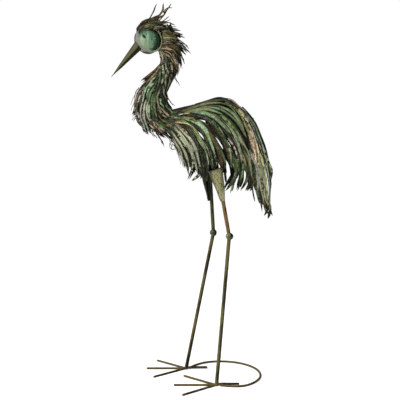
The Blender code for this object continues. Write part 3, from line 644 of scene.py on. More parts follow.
def cheek_dome(name, sign, material):
    """Height over radius and turn: depth * (1 - (radius / inner)^2), the flat lip, and the same again inside."""
    rings, columns = 44, 128
    share = np.linspace(0.0, 1.0, rings)[:, None] ** 0.8
    turn = np.arange(columns)[None] * 2 * math.pi / columns
    inner = CHEEK_RADIUS - CHEEK_LIP
    radius = share * CHEEK_RADIUS
    height = CHEEK_DEPTH * np.clip(1 - (radius / inner) ** 2, 0, 1) + CHEEK_CLEARANCE
    ahead, above = radius * np.cos(turn), radius * np.sin(turn)
    off = np.stack([ahead - EYE_PLACE[0], above - EYE_PLACE[1]], axis=-1)
    long = off[..., 0] * math.cos(EYE_SLANT) + off[..., 1] * math.sin(EYE_SLANT)
    wide = -off[..., 0] * math.sin(EYE_SLANT) + off[..., 1] * math.cos(EYE_SLANT)
    slot = (long / EYE_HALF_SLOT[0]) ** 2 + (wide / EYE_HALF_SLOT[1]) ** 2
    height = height - EYE_DENT * np.clip(1.6 - slot, 0, 1)
    marks = np.sin(ahead * 900 + 2 * np.sin(above * 300)) * np.sin(above * 900 + 2 * np.sin(ahead * 350))
    height = height - 0.0003 * np.clip(marks, 0, 1) * np.clip(-ahead / 0.012, 0, 1) * (radius < inner * 0.96)
    along = ahead * CHEEK_STRETCH - CHEEK_BACK
    outer = in_head(along, above, sign * (HEAD_WIDTH / 2 + height))
    under = in_head(along, above * 0.97, sign * (HEAD_WIDTH / 2 + np.clip(height - CHEEK_SHEET, 0, None)))
    points = np.concatenate([outer, under[::-1]])
    faces = [block[:, ::-1] if sign > 0 else block for block in skin_faces(2 * rings, columns)]
    places = np.stack([ahead / CHEEK_RADIUS, above / CHEEK_RADIUS, slot], axis=-1)
    return mesh_piece(name, points, faces, material, {"cheek": np.concatenate([places, places[::-1]])})


def cheek_finish():
    """Verdigris brushed up and down, with a painted highlight ahead and below and painted shade towards the neck,
    broken by hammer strokes; darker towards the top, and a slot painted near black as the shade in its hollow.

    The lip has a painted highlight only at the back, where a thin dark line parts it from the dome.
    """
    finish = Finish("verdigris_cheek", 0.2, 0.42, VERDIGRIS)
    spot = finish.attribute("cheek")["Vector"]
    ahead, above, slot = finish.parts("cheek")
    patches, streaks, specks = finish.weathered(finish.stretched(spot, (1.0, 0.13, 0.0)), 2.0, 4.5, 12.0)
    hammered = finish.stretched(spot, (0.35, 1.0, 0.0), (0.0, 0.0, STROKE_SLANT))
    strokes = finish.weathered(hammered, 4.0, 5.5, 20.0)[1]
    finish.coat(streaks, MINT, 0.35, 0.65)
    # a painted highlight on the side that faces ahead and below
    lit_side = finish.math("SUBTRACT", finish.times(ahead, 0.7), finish.times(above, 0.4))
    finish.coat(lit_side, PALE_MINT, 0.14, 0.72, 0.72)
    # painted shade on the part towards the neck, broken by hammer strokes
    shade = finish.stirred(finish.times(ahead, -1.7), strokes, 1.5)
    finish.coat(shade, JADE, 0.0, 0.5, 0.8)
    finish.coat(finish.stirred(above, patches, 0.5), JADE, 0.12, 0.8, 0.85)
    finish.coat(finish.times(specks, 0.45), PINE)
    flat = finish.node("ShaderNodeCombineXYZ", {0: ahead, 1: above})[0]
    radius = finish.node("ShaderNodeVectorMath", {0: flat}, operation="LENGTH")["Value"]
    back = finish.ranged(ahead, -0.05, -0.45)
    line = finish.times(finish.ranged(radius, 0.78, 0.82), finish.ranged(radius, 0.87, 0.83))
    finish.coat(finish.times(line, back), PINE)
    # the lip at the back painted pale: a painted highlight
    finish.coat(finish.times(finish.ranged(radius, 0.84, 0.87), back), LIP_HIGHLIGHT)
    finish.coat(finish.times(finish.ranged(radius, 0.82, 0.88), finish.ranged(above, -0.3, -0.6, 0.0, 0.7)), LEAD)
    spatter = finish.node("ShaderNodeVectorMath", {0: flat, 1: SPATTER_PLACE}, operation="DISTANCE")["Value"]
    finish.coat(spatter, MUSTARD_SPOT, 0.14, 0.05, 0.8)
    # the eye slot painted near black: painted shade in its hollow
    finish.coat(slot, EYE_SLOT_SHADE, 1.9, 1.2)
    return finish.done(streaks, 0.34, 0.52, streaks, 0.25, 0.0004)


def bent_strip(name, material):
    """A flat strip bent to a hoop: a small rounded oblong carried round a circle."""
    count = 96
    turn = np.linspace(0, 2 * math.pi, count + 1)[:-1, None]
    across = np.array((-1, -1 / 3, 1 / 3, 1, 1, -1)) * HEAD_WIDTH / 2
    radius = BAND_RADIUS - np.array((0, 0, 0, 0, 1, 1)) * STRIP_THICKNESS
    ahead, above = radius * np.cos(turn) + STRIP_AHEAD, radius * np.sin(turn) + STRIP_UP
    points = in_head(ahead, above, np.broadcast_to(across, (count, 6)))
    quads = skin_faces(count + 1, 6)[0] % (count * 6)
    return mesh_piece(name, points, [quads[:, ::-1]], material)


CHEEK_FINISH = cheek_finish()
for side, sign in (("left", -1), ("right", 1)):
    cheek = cheek_dome(side + "_cheek_dome", sign, CHEEK_FINISH)
    welded(cheek, "verdigris_cheek", side + "_cheek")
STRIP_FINISH = rod_finish("head_strip_patina", STEEL, LILAC_GREY, BARK, STEEL)
strip = bent_strip("forehead_strip", STRIP_FINISH)
welded(strip, "verdigris_cheek", "head_band")


# Beak
#
# One piece of sheet folded to a long spike of four faces, with a fold on each side and above and below. It is
# darker below the side fold and has a painted highlight along it.

BEAK_LENGTH = 0.125
BEAK_PITCH = math.radians(49)
BEAK_ROOT = (0.0290, -0.0155)
BEAK_HALF_HEIGHT = 0.0142
BEAK_HALF_WIDTH = 0.0105
BEAK_SETBACK = 0.010
DARK_OLIVE = paint(34, 33, 16)
GREY_OLIVE = paint(64, 64, 46)


def folded_beak(name, material):
    """A diamond with softened corners, carried along a line and drawn in to a point a little hollowly."""
    rows, columns = 60, 48
    share = np.linspace(-0.07, 1, rows)[:, None]
    turn = np.arange(columns)[None] * 2 * math.pi / columns
    size = np.maximum(1 - share, 0.05) * 0.92 + 0.08 * np.clip(1 - share, 0, 0.3) / 0.3
    across = np.sign(np.cos(turn)) * np.abs(np.cos(turn)) ** 1.75 * BEAK_HALF_WIDTH * size
    over = np.sign(np.sin(turn)) * np.abs(np.sin(turn)) ** 1.75 * BEAK_HALF_HEIGHT * size
    reach = share * BEAK_LENGTH - BEAK_SETBACK
    ahead = BEAK_ROOT[0] + reach * math.cos(BEAK_PITCH) + over * math.sin(BEAK_PITCH)
    above = BEAK_ROOT[1] - reach * math.sin(BEAK_PITCH) + over * math.cos(BEAK_PITCH)
    spot = np.stack([share + 0 * turn, over / BEAK_HALF_HEIGHT / np.maximum(size, 0.05), across * 0], axis=-1)
    faces = [block[:, ::-1] for block in skin_faces(rows, columns)]
    return mesh_piece(name, in_head(ahead, above, across), faces, material, {"beak": spot})


def beak_finish():
    """Grey olive above the fold, dark olive below, dark and rubbed in streaks along the spike."""
    finish = Finish("folded_beak_patina", 0.35, 0.42, DARK_OLIVE)
    fold = finish.parts("beak")[1]
    spot = finish.stretched(finish.attribute("beak")["Vector"], (1.0, 1.0, 0.0))
    patches, streaks, specks = finish.weathered(spot, 5.0, 14.0, 40.0)
    # olive along the side fold and above it: a painted highlight along the fold
    finish.coat(fold, OLIVE, -0.10, 0.08)
    finish.coat(fold, OLIVE, -0.45, -0.75, 0.7)
    finish.coat(fold, GREY_OLIVE, 0.1, 0.4)
    finish.coat(fold, DARK_OLIVE, 0.65, 0.95, 0.6)
    finish.coat(finish.times(patches, 0.4), DARK_OLIVE)
    finish.coat(finish.times(specks, 0.5), BARK)
    return finish.done(streaks, 0.34, 0.55, streaks, 0.3, 0.0005)


beak = folded_beak("folded_beak", beak_finish())
welded(beak, "olive_beak", "beak")


# Body feathers
#
# Long blades cut from sheet, bent down over the back and flanks and welded where they overlap. Ones painted
# dark lie underneath, as painted shade between the broad painted ones over them. The body is hollow, so daylight
# shows where two blades part.

FLOW_LINES = np.array((
    ((-0.121, 0.684), (-0.098, 0.674), (-0.077, 0.653), (-0.058, 0.629), (-0.042, 0.603), (-0.032, 0.573)),
    ((-0.110, 0.702), (-0.068, 0.691), (-0.034, 0.665), (-0.010, 0.626), (0.005, 0.584), (0.011, 0.542)),
    ((-0.096, 0.717), (-0.042, 0.712), (0.005, 0.691), (0.042, 0.644), (0.065, 0.584), (0.073, 0.524)),
    ((-0.085, 0.729), (-0.021, 0.736), (0.040, 0.733), (0.090, 0.690), (0.122, 0.616), (0.133, 0.525)),
    ((-0.082, 0.739), (-0.005, 0.757), (0.062, 0.774), (0.125, 0.731), (0.169, 0.638), (0.194, 0.540)),
))
HALF_WIDTHS = np.array((0.034, 0.056, 0.074, 0.080, 0.074, 0.062))
WIDTH_SHARES = np.array((0.75, 0.97, 1.0, 0.74, 0.0))
BLADE_STATIONS = 13
BLADE_THICKNESS = 0.0010

DEEP = paint(28, 38, 22)
FERN = paint(54, 70, 40)
GRASS = paint(80, 112, 62)
SEA = paint(94, 118, 86)
TEAL = paint(112, 140, 122)
FOAM = paint(142, 160, 134)
PALE_SAGE = paint(144, 148, 128)
KHAKI = paint(118, 112, 80)
PEAR = paint(164, 168, 106)
RUST = paint(82, 48, 30)
ROSE = paint(130, 108, 86)
CREAM = paint(226, 204, 166)
LILAC = paint(150, 142, 138)
STRAW = paint(160, 156, 120)
MUSTARD = paint(86, 78, 36)
SHADE = (0.30, 0.31, 0.24, 1.0)

# the broad blades of the near flank, from the lowest to the topmost: colour at the root and at the tip, half
# width, how dark the tip is, and four places across and down the picture from root to tip
# the near black ones among them are painted shade for the dark gaps between the others
BROAD_BLADES = (
    (SAGE, PALE_SAGE, 3.8, 0.0, 253, 148, 260, 170, 264, 188, 267.4, 206),
    (SAGE, FOAM, 2.1, 0.0, 258, 140, 265, 160, 268.5, 183, 269.8, 209),
    (PALE_SAGE, STRAW, 2.7, 0.0, 252, 138, 262, 163, 265.5, 185, 268.2, 206),
    (LILAC, PALE_SAGE, 2.8, 0.0, 249, 143, 257, 165, 259.5, 184, 263.5, 202),
    (KHAKI, UMBER, 2.0, 0.6, 252, 150, 261, 176, 263, 192, 265.7, 212.8),
    (FERN, BARK, 1.9, 0.8, 247, 158, 253.5, 176, 257, 191, 260.7, 204),
    (KHAKI, BARK, 2.0, 1.0, 266, 192, 268.8, 203, 270.2, 211, 267.4, 219),
    (BARK, SOOT_AND_SHADE, 1.0, 1.0, 267, 198, 269.5, 206, 271, 211.5, 272.6, 215.6),
    (SAGE, SOOT_AND_SHADE, 1.4, 1.0, 260, 143, 267, 158, 271.2, 170, 270.6, 182.6),
    (PEAR, STRAW, 1.5, 0.2, 256, 144, 263, 165, 266.5, 185, 268.6, 201),
    (SOOT_AND_SHADE, BARK, 0.8, 0.5, 259.5, 163, 261, 172, 262, 179, 262.6, 184.5),
    (ROSE, RUST, 0.9, 0.5, 260.5, 148, 262.6, 157, 263.6, 164, 264.2, 171),
    (SEA, SAGE, 2.3, 0.3, 240, 107.5, 253.5, 124, 260.5, 144, 267.8, 166),
    (LILAC, LILAC, 2.0, 0.3, 246, 116, 253.5, 127, 257.5, 138, 260.5, 150),
    (SAGE, FOAM, 1.6, 0.4, 254, 131, 260, 145, 264, 157, 266.8, 169),
    (SOOT_AND_SHADE, SOOT_AND_SHADE, 1.0, 0.5, 249, 127, 255.2, 141, 258.6, 155, 259.8, 167.5),
    (STRAW, ROSE, 2.2, 0.4, 238, 108, 248, 125, 253.5, 143, 257.4, 161),
    (RUST, RUST, 0.9, 0.5, 243, 116, 251.5, 133, 255.3, 147, 257.6, 158.5),
    (ROSE, CREAM, 2.2, 0.2, 243, 122, 250, 137, 254, 151, 256.8, 168),
    (SOOT_AND_SHADE, SOOT_AND_SHADE, 0.9, 0.8, 245, 135, 250, 146, 252.8, 156, 253.6, 167),
    (LILAC, PALE_SAGE, 2.4, 0.2, 249, 150, 254.8, 164, 257, 177, 258, 191),
    (FERN, DEEP, 2.5, 0.8, 238, 135, 249, 155, 254.3, 172, 252.4, 186),
    (DEEP, SOOT_AND_SHADE, 1.0, 1.0, 249, 168, 252.2, 178, 251.8, 185, 250.3, 190.5),
    (SAGE, KHAKI, 2.6, 0.5, 225, 119, 239.5, 139, 248.4, 157, 251.6, 177),
    (FERN, FERN, 1.1, 0.6, 242, 148, 246.8, 158, 249.2, 166, 250, 176),
    (ROSE, UMBER, 1.5, 0.8, 236, 141, 243.2, 157, 247.2, 171, 245.8, 184.8),
    (DEEP, SOOT_AND_SHADE, 1.2, 1.0, 240, 149, 244, 163, 247.6, 176, 240.8, 190.8),
    (SAGE, GRASS, 1.9, 0.9, 231, 134, 239.6, 151, 243, 170, 237.3, 191.3),
    (DEEP, SOOT_AND_SHADE, 1.3, 1.0, 234, 144, 238.6, 160, 240, 173, 236.6, 185.3),
    (OLIVE, SOOT_AND_SHADE, 1.6, 1.0, 247, 166, 252, 177, 252.6, 185, 249.6, 191.5),
    (UMBER, SOOT_AND_SHADE, 1.4, 1.0, 244, 163, 248.6, 174, 248.8, 183, 245.6, 190.8),
    (FERN, SOOT_AND_SHADE, 1.7, 1.0, 241, 160, 245.6, 171, 245.6, 180.6, 241.2, 189.8),
    (LILAC, UMBER, 1.1, 0.6, 228, 138, 235.6, 151, 238, 163, 237.6, 174),
    (FERN, FERN, 1.5, 0.6, 224, 136, 231, 149, 234, 161, 234.8, 173),
    (FERN, DEEP, 2.8, 0.9, 217, 131, 230, 150, 237.5, 171, 225.6, 191.6),
    (SAGE, FERN, 1.4, 0.3, 228, 154, 235.2, 169, 233.8, 181, 230.5, 193),
    (KHAKI, FERN, 2.2, 0.4, 212, 121, 222.5, 136, 229, 151, 231.4, 168),
    (UMBER, DEEP, 1.6, 0.7, 211, 125, 222, 138, 227.3, 152, 228.4, 165),
    (FERN, SOOT_AND_SHADE, 1.3, 1.0, 219, 146, 225.4, 158, 227.4, 169, 226.5, 180),
    (OLIVE, UMBER, 2.7, 0.3, 207, 127, 214.8, 142, 218.8, 155, 222, 169),
    (SAGE, SEA, 2.7, 0.3, 213, 116, 225, 126, 235, 138, 242, 155),
    (KHAKI, PALE_SAGE, 2.5, 0.3, 214, 117.5, 226.5, 128, 236, 139, 240.4, 155),
    (RUST, UMBER, 1.5, 0.7, 203, 111.5, 215.5, 116, 226, 124.5, 234, 139),
    (SEA, KHAKI, 2.5, 0.4, 200, 107, 221, 110.5, 236, 121.5, 246.5, 138),
    (GRASS, FERN, 1.5, 0.3, 220, 115.5, 227.5, 121.5, 233, 128.5, 238, 138),
    (SEA, SAGE, 1.9, 0.3, 219, 107, 232, 113.5, 240.5, 124.5, 246.4, 138),
    (LILAC, CREAM, 1.5, 0.2, 248, 124, 254, 138, 257.4, 151, 259.4, 164),
    (SOOT_AND_SHADE, SOOT_AND_SHADE, 0.6, 0.6, 249.6, 127, 255.6, 140, 258.6, 152, 260.4, 166),
    (CREAM, CREAM, 0.8, 0.1, 247, 125, 252.6, 138, 256, 151, 258.4, 163),
    (CREAM, ROSE, 0.7, 0.1, 250.6, 130, 255.2, 143, 258, 156, 259.4, 168),
    (FOAM, FOAM, 1.0, 0.1, 257, 131, 262, 144.6, 265.4, 157, 267.4, 169),
    (CREAM, LILAC, 0.8, 0.2, 252, 152, 255.4, 163, 257.4, 174, 258.4, 184),
    (SOOT_AND_SHADE, SOOT_AND_SHADE, 0.9, 0.6, 207, 107, 222, 109.3, 231.5, 116, 239.5, 129.5),
    (FERN, SEA, 1.5, 0.2, 218, 103.3, 228, 105.8, 235, 112.5, 243.5, 127.5),
    (OLIVE, PEAR, 2.3, 0.2, 225, 102.5, 236, 109.8, 243.2, 120.5, 249, 135.5),
    (RUST, RUST, 0.8, 0.6, 227, 102.5, 235.5, 106, 241, 110.5, 245.4, 117),
    (DEEP, SOOT_AND_SHADE, 0.6, 0.6, 236, 111, 242, 117, 247, 123.8, 251, 131.5),
    (SEA, SEA, 2.4, 0.3, 192, 112.5, 207, 114.5, 219, 121.5, 230, 134.5),
    (FERN, DEEP, 2.1, 0.6, 203, 120.5, 214, 126.5, 222, 136, 227, 148),
    (SOOT_AND_SHADE, DEEP, 1.2, 0.6, 186, 115.2, 197, 117.4, 207, 122.5, 216.5, 131),
    (MUSTARD, SEA, 2.2, 0.3, 184, 113.8, 196, 110.8, 209, 110.3, 223, 115),
    (OLIVE, KHAKI, 2.3, 0.4, 182, 112.4, 193, 108.6, 206, 104.8, 223, 103.6),
    (FERN, FERN, 2.3, 0.4, 200, 103.8, 212, 101.8, 226, 101.5, 239, 109.5),
    (DEEP, LILAC, 1.4, 0.4, 219, 98.6, 230, 100.3, 238.5, 106, 246.5, 114),
    (DEEP, DEEP, 1.6, 0.6, 195, 105, 208, 101.2, 221, 98.3, 235, 103),
    (BARK, SOOT_AND_SHADE, 0.45, 0.6, 235, 104, 243, 109.8, 249, 114.5, 253.8, 118.8),
    (SOOT_AND_SHADE, SOOT_AND_SHADE, 1.9, 0.8, 197, 131, 204.5, 141, 209, 152, 211, 164),
    (SAGE, FERN, 1.7, 0.5, 202, 137, 208.3, 148, 211.2, 158.5, 212.4, 169),
    (SAGE, DEEP, 1.3, 0.5, 205, 132, 211.2, 144.5, 214.8, 156, 217, 168),
    (GRASS, FOAM, 2.4, 0.2, 185, 119, 199.5, 124.6, 208.6, 137, 214.3, 155),
    (SOOT_AND_SHADE, DEEP, 1.2, 0.6, 183, 126.5, 193, 137, 199.8, 148, 204.4, 163),
    (GRASS, SAGE, 2.6, 0.3, 180, 120.4, 191.5, 127.4, 201, 139, 207.4, 155),
    (SAGE, PALE_SAGE, 0.9, 0.1, 197, 138.5, 203, 146.5, 206.8, 155, 209.2, 165.5),
    (SOOT_AND_SHADE, SOOT_AND_SHADE, 1.8, 0.8, 189, 134, 197.8, 147, 202.6, 161, 204.2, 177),
    (SAGE, PALE_SAGE, 2.3, 0.2, 176, 124.6, 188, 136.4, 196, 150, 200, 167),
    (PALE_SAGE, SOOT_AND_SHADE, 1.7, 1.0, 190, 142, 197.4, 157, 200.2, 172, 191.4, 180.8),
    (SAGE, PALE_SAGE, 1.9, 0.5, 174, 127.6, 184.5, 139.6, 192.4, 154, 197.2, 174),
    (PALE_SAGE, SOOT_AND_SHADE, 1.7, 1.0, 175, 132.6, 186, 147, 193.6, 163, 187.2, 179.6),
    (SAGE, PALE_SAGE, 1.5, 0.8, 171, 131.4, 181, 145, 187, 157, 188.7, 170),
    (SAGE, LILAC, 0.7, 0.5, 173, 138, 179.5, 149, 182.6, 158, 183.8, 167.6),
    (DEEP, SOOT_AND_SHADE, 0.7, 0.6, 178, 130, 187, 143, 193, 156, 196.6, 172),
    (DEEP, SOOT_AND_SHADE, 0.7, 0.6, 182, 127, 191, 139, 197.5, 152, 201.6, 168),
    (BARK, SOOT_AND_SHADE, 0.6, 0.6, 174, 131, 182, 143, 188.5, 156, 191.5, 170),
    (UMBER, KHAKI, 1.6, 0.4, 175, 121, 184, 123.4, 192, 127, 199.4, 134.4),
    (TAN, STRAW, 0.9, 0.1, 175, 122.7, 181, 123.2, 187, 124, 192.5, 126.4),
    (ROSE, UMBER, 1.0, 0.4, 178, 126.8, 183, 129.4, 186.6, 132.4, 189, 136.6),
    (SEA, FERN, 1.5, 0.2, 173, 118.4, 179.5, 118.7, 185, 119.5, 191, 121.6),
    (MUSTARD, MUSTARD, 1.6, 0.2, 182, 117.8, 187, 118.2, 192, 119.4, 197, 122.4),
    (PALE_SAGE, KHAKI, 0.9, 0.2, 178, 115.8, 181.5, 115, 185, 114.4, 190, 114.6),
    (PALE_SAGE, LILAC, 0.4, 0.2, 172, 139, 177.6, 148, 181.4, 158, 184, 167),
    (LILAC, PALE_SAGE, 0.35, 0.2, 170.6, 140, 175.6, 149, 179.2, 158, 181.4, 165),
    (PALE_SAGE, PALE_SAGE, 0.35, 0.2, 174, 140, 179.8, 150, 183.6, 160, 186, 168.6),
    (BARK, SOOT_AND_SHADE, 1.0, 1.0, 198, 163, 201, 169.6, 201.8, 174.6, 200.7, 178.8),
    (DEEP, SOOT_AND_SHADE, 1.0, 1.0, 214, 158, 219.4, 164.6, 222.4, 169.4, 222.3, 175.2),
)

# openings that let daylight through: a place across and down the picture and a radius, all in pixels
DAYLIGHT = (
    (205.5, 121.7, 1.0), (201.6, 135.6, 0.9), (219.3, 142.6, 1.1), (228.8, 143.4, 0.5), (227.9, 167.4, 1.2),
    (218.9, 165.0, 0.6), (245.0, 173.3, 0.9), (184.6, 147.0, 0.3),
)
THIGH_TOP = 170.5
THIGH_EDGE = (210.4, 0.42)
THIGH_RIGHT = 224.5
THIGH_FADE = 3
THIGH_INNER = -0.018
PICTURE_SIDE = 400
PICTURE_MIDDLE = PICTURE_SIDE / 2
PICTURE_FOCUS = CAMERA_LENS / CAMERA_SENSOR * PICTURE_SIDE
LOOK = np.array((0, math.cos(CAMERA_TIP), -math.sin(CAMERA_TIP)))
LIFT = np.array((0, math.sin(CAMERA_TIP), math.cos(CAMERA_TIP)))
ROW_SCALE = 372  # pixels in a metre, for the half widths in the tables
FLANK_SCALE = 365  # pixels in a metre at the near flank
EDGE_SCALE = 340  # and at the edge of a blade, which is narrower than its half width at most places
MOST_PUSH = 4
NEAR_OPENING = 8
LAYER_LIFT = 0.0032
LAYER_STEP = 0.00006
TIP_LIFT = 0.003
HAND_SHIFT = 1.2
HAND_BEND = 1.0
USUAL_TILT = 0.30
EDGE_DARK = 0.85


def sight(places, depth):
    """The points at a depth before or behind the middle of the bird that lie on the lines of sight of places."""
    aside = (places[..., 0] - PICTURE_MIDDLE) / PICTURE_FOCUS
    above = (PICTURE_MIDDLE - places[..., 1]) / PICTURE_FOCUS
    ray = LOOK + aside[..., None] * np.array((1.0, 0, 0)) + above[..., None] * LIFT
    reach = (depth + CAMERA_DISTANCE) / ray[..., 1]
    return CAMERA_PLACE + ray * reach[..., None]


def picture_place(points):
    """Where points appear in the picture: what they lie aside and above the line of sight over their distance."""
    off = points - CAMERA_PLACE
    far = off @ LOOK
    return PICTURE_MIDDLE + PICTURE_FOCUS * np.stack([off[..., 0] / far, -(off @ LIFT) / far], axis=-1)


def reading(share, count):
    """How much each of count even keys weighs in a Catmull-Rom line at a share, straight on past its ends."""
    share = np.asarray(share, float)
    place = np.clip(share, 0, 1) * (count - 1)
    first = np.minimum(place.astype(int), count - 2)
    part = place - first
    square, cube = part**2, part**3
    parts = [-part + 2 * square - cube, 2 - 5 * square + 3 * cube, part + 4 * square - 3 * cube, cube - square]
    basis = 0.5 * np.stack(parts, axis=-1)
    keys = np.zeros((count + 2, count))
    keys[1:-1] = np.eye(count)
    keys[0, :2] = 2, -1
    keys[-1, -2:] = -1, 2
    weights = (basis[..., None] * keys[first[..., None] + np.arange(4)]).sum(axis=-2)
    past = (share - np.clip(share, 0, 1))[..., None] * (count - 1)
    return weights + np.maximum(past, 0) * (keys[-1] - keys[-2]) + np.minimum(past, 0) * (keys[1] - keys[0])


def flank(across, along):
    """The left flank over two shares: from belly to ridge across, from shoulder to fringe along."""
    lines = reading(across, 5)
    keys = reading(along, 6)
    side = np.einsum("...l,...k,lkc->...c", lines, keys, FLOW_LINES)
    half = np.clip((keys @ HALF_WIDTHS) * (lines @ WIDTH_SHARES), 0, None)
    return np.stack([side[..., 0] + SHIFT[0], SHIFT[1] - half, side[..., 1]], axis=-1)


def flank_out(across, along):
    """The way out of the flank: down it crossed with back along it."""
    step = 0.02
    down = flank(np.clip(across - step, 0, 1), along) - flank(np.clip(across + step, 0, 1), along)
    back = flank(across, along + step) - flank(across, along - step)
    return unit(np.cross(down, back))


def on_surface(places, net, out):
    """The depth of a surface under each place of the picture, and the way out there.

    Both come from a net of points on the surface, each weighed by one over the fourth power of its distance.
    """
    far = np.linalg.norm(places.reshape(-1, 1, 2) - picture_place(net), axis=-1)
    weight = 1 / (far + 0.7) ** 4
    weight /= weight.sum(axis=1, keepdims=True)
    shape = places.shape[:-1]
    return (weight @ (net[:, 1] - SHIFT[1])).reshape(shape), unit(weight @ out).reshape(*shape, 3)


def part_for_daylight(lines, widths):
    """Bends each blade sideways round the openings, by what its edge lacks there and less and less beyond."""
    for across, down, radius in DAYLIGHT:
        seen = picture_place(lines)
        along = unit(np.gradient(seen, axis=1))
        square = np.stack([-along[..., 1], along[..., 0]], axis=-1)
        away = seen - (across, down)
        far = np.linalg.norm(away, axis=-1)
        nearest = np.arange(len(lines)), far.argmin(axis=1)
        beside = (away[nearest] * square[nearest]).sum(axis=-1)
        lack = np.clip(radius + widths * EDGE_SCALE - np.abs(beside), 0, MOST_PUSH)
        lack *= far[nearest] < NEAR_OPENING + radius
        push = square[nearest] * (np.sign(beside) * lack)[:, None]
        fade = np.exp(-((far / (9 + 3 * radius)) ** 2))[..., None]
        lines[..., [0, 2]] += push[:, None] * fade / FLANK_SCALE * (1, -1)
    return lines


def mirrored(points, far):
    """The points with those marked as far taken across the middle plane of the bird."""
    points[far, ..., 1] = 2 * SHIFT[1] - points[far, ..., 1]
    return points


def as_they_lie(lines, far, change):
    """Applies a change to lines where they lie: those of the far side are mirrored for it and back again."""
    return mirrored(change(mirrored(lines, far)), far)


def blade_piece(name, blades, flattest, roundest):
    """Closed strips of eight points a station: each line of points gets an arched upper and a parallel lower face.

    The half width is the blade's width times a profile that starts narrow, is widest at a third and ends in a
    point. The middle rises over the edges by a share of it between flattest and roundest.
    """
    lines, outs, widths, coats, unders, far = blades
    arch = rng.uniform(flattest, roundest, len(lines))
    count, stations = lines.shape[:2]
    share = np.linspace(0, 1, stations)
    along = unit(np.gradient(lines, axis=1))
    across = unit(np.cross(along, outs))
    face = np.cross(across, along)
    profile = np.sin(math.pi * (0.22 + 0.78 * share)) ** 0.42
    profile[-1] = 0.05
    phase = rng.uniform(0, 2 * math.pi, (count, 1))
    half = widths[:, None] * profile * (1 + 0.10 * np.sin(9 * share + phase) + 0.06 * np.sin(17 * share + 3 * phase))
    places = np.array((-1, -0.45, 0.45, 1, 1, 0.45, -0.45, -1.0))
    upper = np.array((1, 1, 1, 1, 0, 0, 0, 0.0))
    rise = arch[:, None, None] * half[..., None] * (1 - places**2) + (upper - 0.5) * BLADE_THICKNESS
    aside = half[..., None] * places
    points = lines[:, :, None] + across[:, :, None] * aside[..., None] + face[:, :, None] * rise[..., None]
    points = mirrored(points, far)
    length = np.zeros((count, stations, 1))
    length[:, 1:, 0] = np.cumsum(np.linalg.norm(np.diff(lines, axis=1), axis=-1), axis=1)
    faces = []
    for number in range(count):
        blocks = skin_faces(stations, 8, number * stations * 8)
        faces += [block[:, ::-1] if far[number] else block for block in blocks]
    shape = points.shape[:3]
    apart = np.arange(count)[:, None, None] * 0.37
    values = {
        "spot": np.stack(np.broadcast_arrays(aside, length, apart), axis=-1),
        "span": np.stack(np.broadcast_arrays(np.zeros(shape) + places, share[:, None], upper), axis=-1),
        "coat": np.broadcast_to(coats[:, None, None], (*shape, 4)),
        "under": np.broadcast_to(unders[:, None, None], (*shape, 4)),
    }
    return mesh_piece(name, points, faces, FEATHER_FINISH, values)


def feather_finish():
    """The coat at the root gives way to that at the tip in patches, with pale streaks of painted glint. Root and some
    tips are dark; the edges are dark partly as painted shade, and the backs are dark as painted shade.

    The coat's fourth value says how dark the tip is, and that of the one under it how dark the edges are.
    """
    finish = Finish("feather_patina", 0.30, 0.40)
    across, place, upper = finish.parts("span")
    spot = finish.stretched(finish.attribute("spot")["Vector"], (1.0, 0.16, 1.0))
    patches, streaks, specks = finish.weathered(spot, 150.0, 560.0, 900.0)
    blotches, mottle = finish.weathered(finish.object_place(), 110.0, 330.0, 600.0)[:2]
    coat, under = finish.attribute("coat"), finish.attribute("under")
    wander = finish.stirred(place, patches, 0.8)
    finish.now = coat["Color"]
    finish.coat(finish.stirred(wander, blotches, 1.5), under["Color"], 0.3, 0.7)
    finish.coat(blotches, finish.mix(1.0, finish.now, SHADE, "MULTIPLY"), 0.35, 0.95, 0.75)
    finish.coat(mottle, finish.mix(0.4, finish.now, PALE_SAGE), 0.5, 0.95, 0.4)
    # pale streaks: a painted glint along the blades
    finish.coat(finish.times(finish.ranged(streaks, 0.55, 1.0), 0.5), finish.mix(0.4, finish.now, STRAW))
    worn = finish.times(finish.ranged(streaks, 0.5, 0.1), 0.6)
    finish.coat(worn, finish.mix(1.0, finish.now, SHADE, "MULTIPLY"))
    finish.coat(finish.times(specks, 0.5), SOOT_AND_SHADE)
    # dark edges, one side more: partly the blades' own dark edges, partly painted shade where they lie under their
    # neighbours
    edge = finish.math("MULTIPLY_ADD", streaks, 0.3, finish.math("ABSOLUTE", across))
    edge = finish.math("MULTIPLY_ADD", across, 0.22, edge)
    finish.coat(finish.times(finish.ranged(edge, 0.72, 1.12), under["Alpha"]), SOOT_AND_SHADE)
    finish.coat(finish.times(finish.ranged(wander, 0.78, 1.0), coat["Alpha"]), SOOT_AND_SHADE)
    finish.coat(place, SOOT_AND_SHADE, 0.16, 0.0, 0.6)
    # the backs of the blades painted dark: painted shade inside the hollow body
    finish.coat(upper, SOOT_AND_SHADE, 0.6, 0.4, 0.75)
    return finish.done(streaks, 0.30, 0.56, streaks, 0.5, 0.0007)


FEATHER_FINISH = feather_finish()


def pick(palette, weights, count, dark):
    """Colours drawn for count blades, each weighed, with a little light and dark in each."""
    chance = np.asarray(weights, float)
    drawn = rng.choice(len(palette), count, p=chance / chance.sum())
    shade = rng.uniform(0.7, 1.25, (count, 1))
    colours = np.array(palette)[drawn]
    colours[:, :3] *= shade
    colours[:, 3] = dark
    return colours


# rows of the under layer: start along the flow, span, blades a side, half width, lift of the root and of the tip
UNDER_ROWS = (
    (0.54, 0.34, 22, 0.0060, -0.002, 0.001),
    (0.44, 0.40, 24, 0.0060, -0.002, 0.001),
    (0.34, 0.42, 24, 0.0060, -0.002, 0.001),
    (0.20, 0.42, 24, 0.0058, -0.002, 0.001),
    (0.06, 0.40, 22, 0.0054, -0.001, 0.002),
    (-0.08, 0.36, 20, 0.0050, -0.001, 0.002),
)
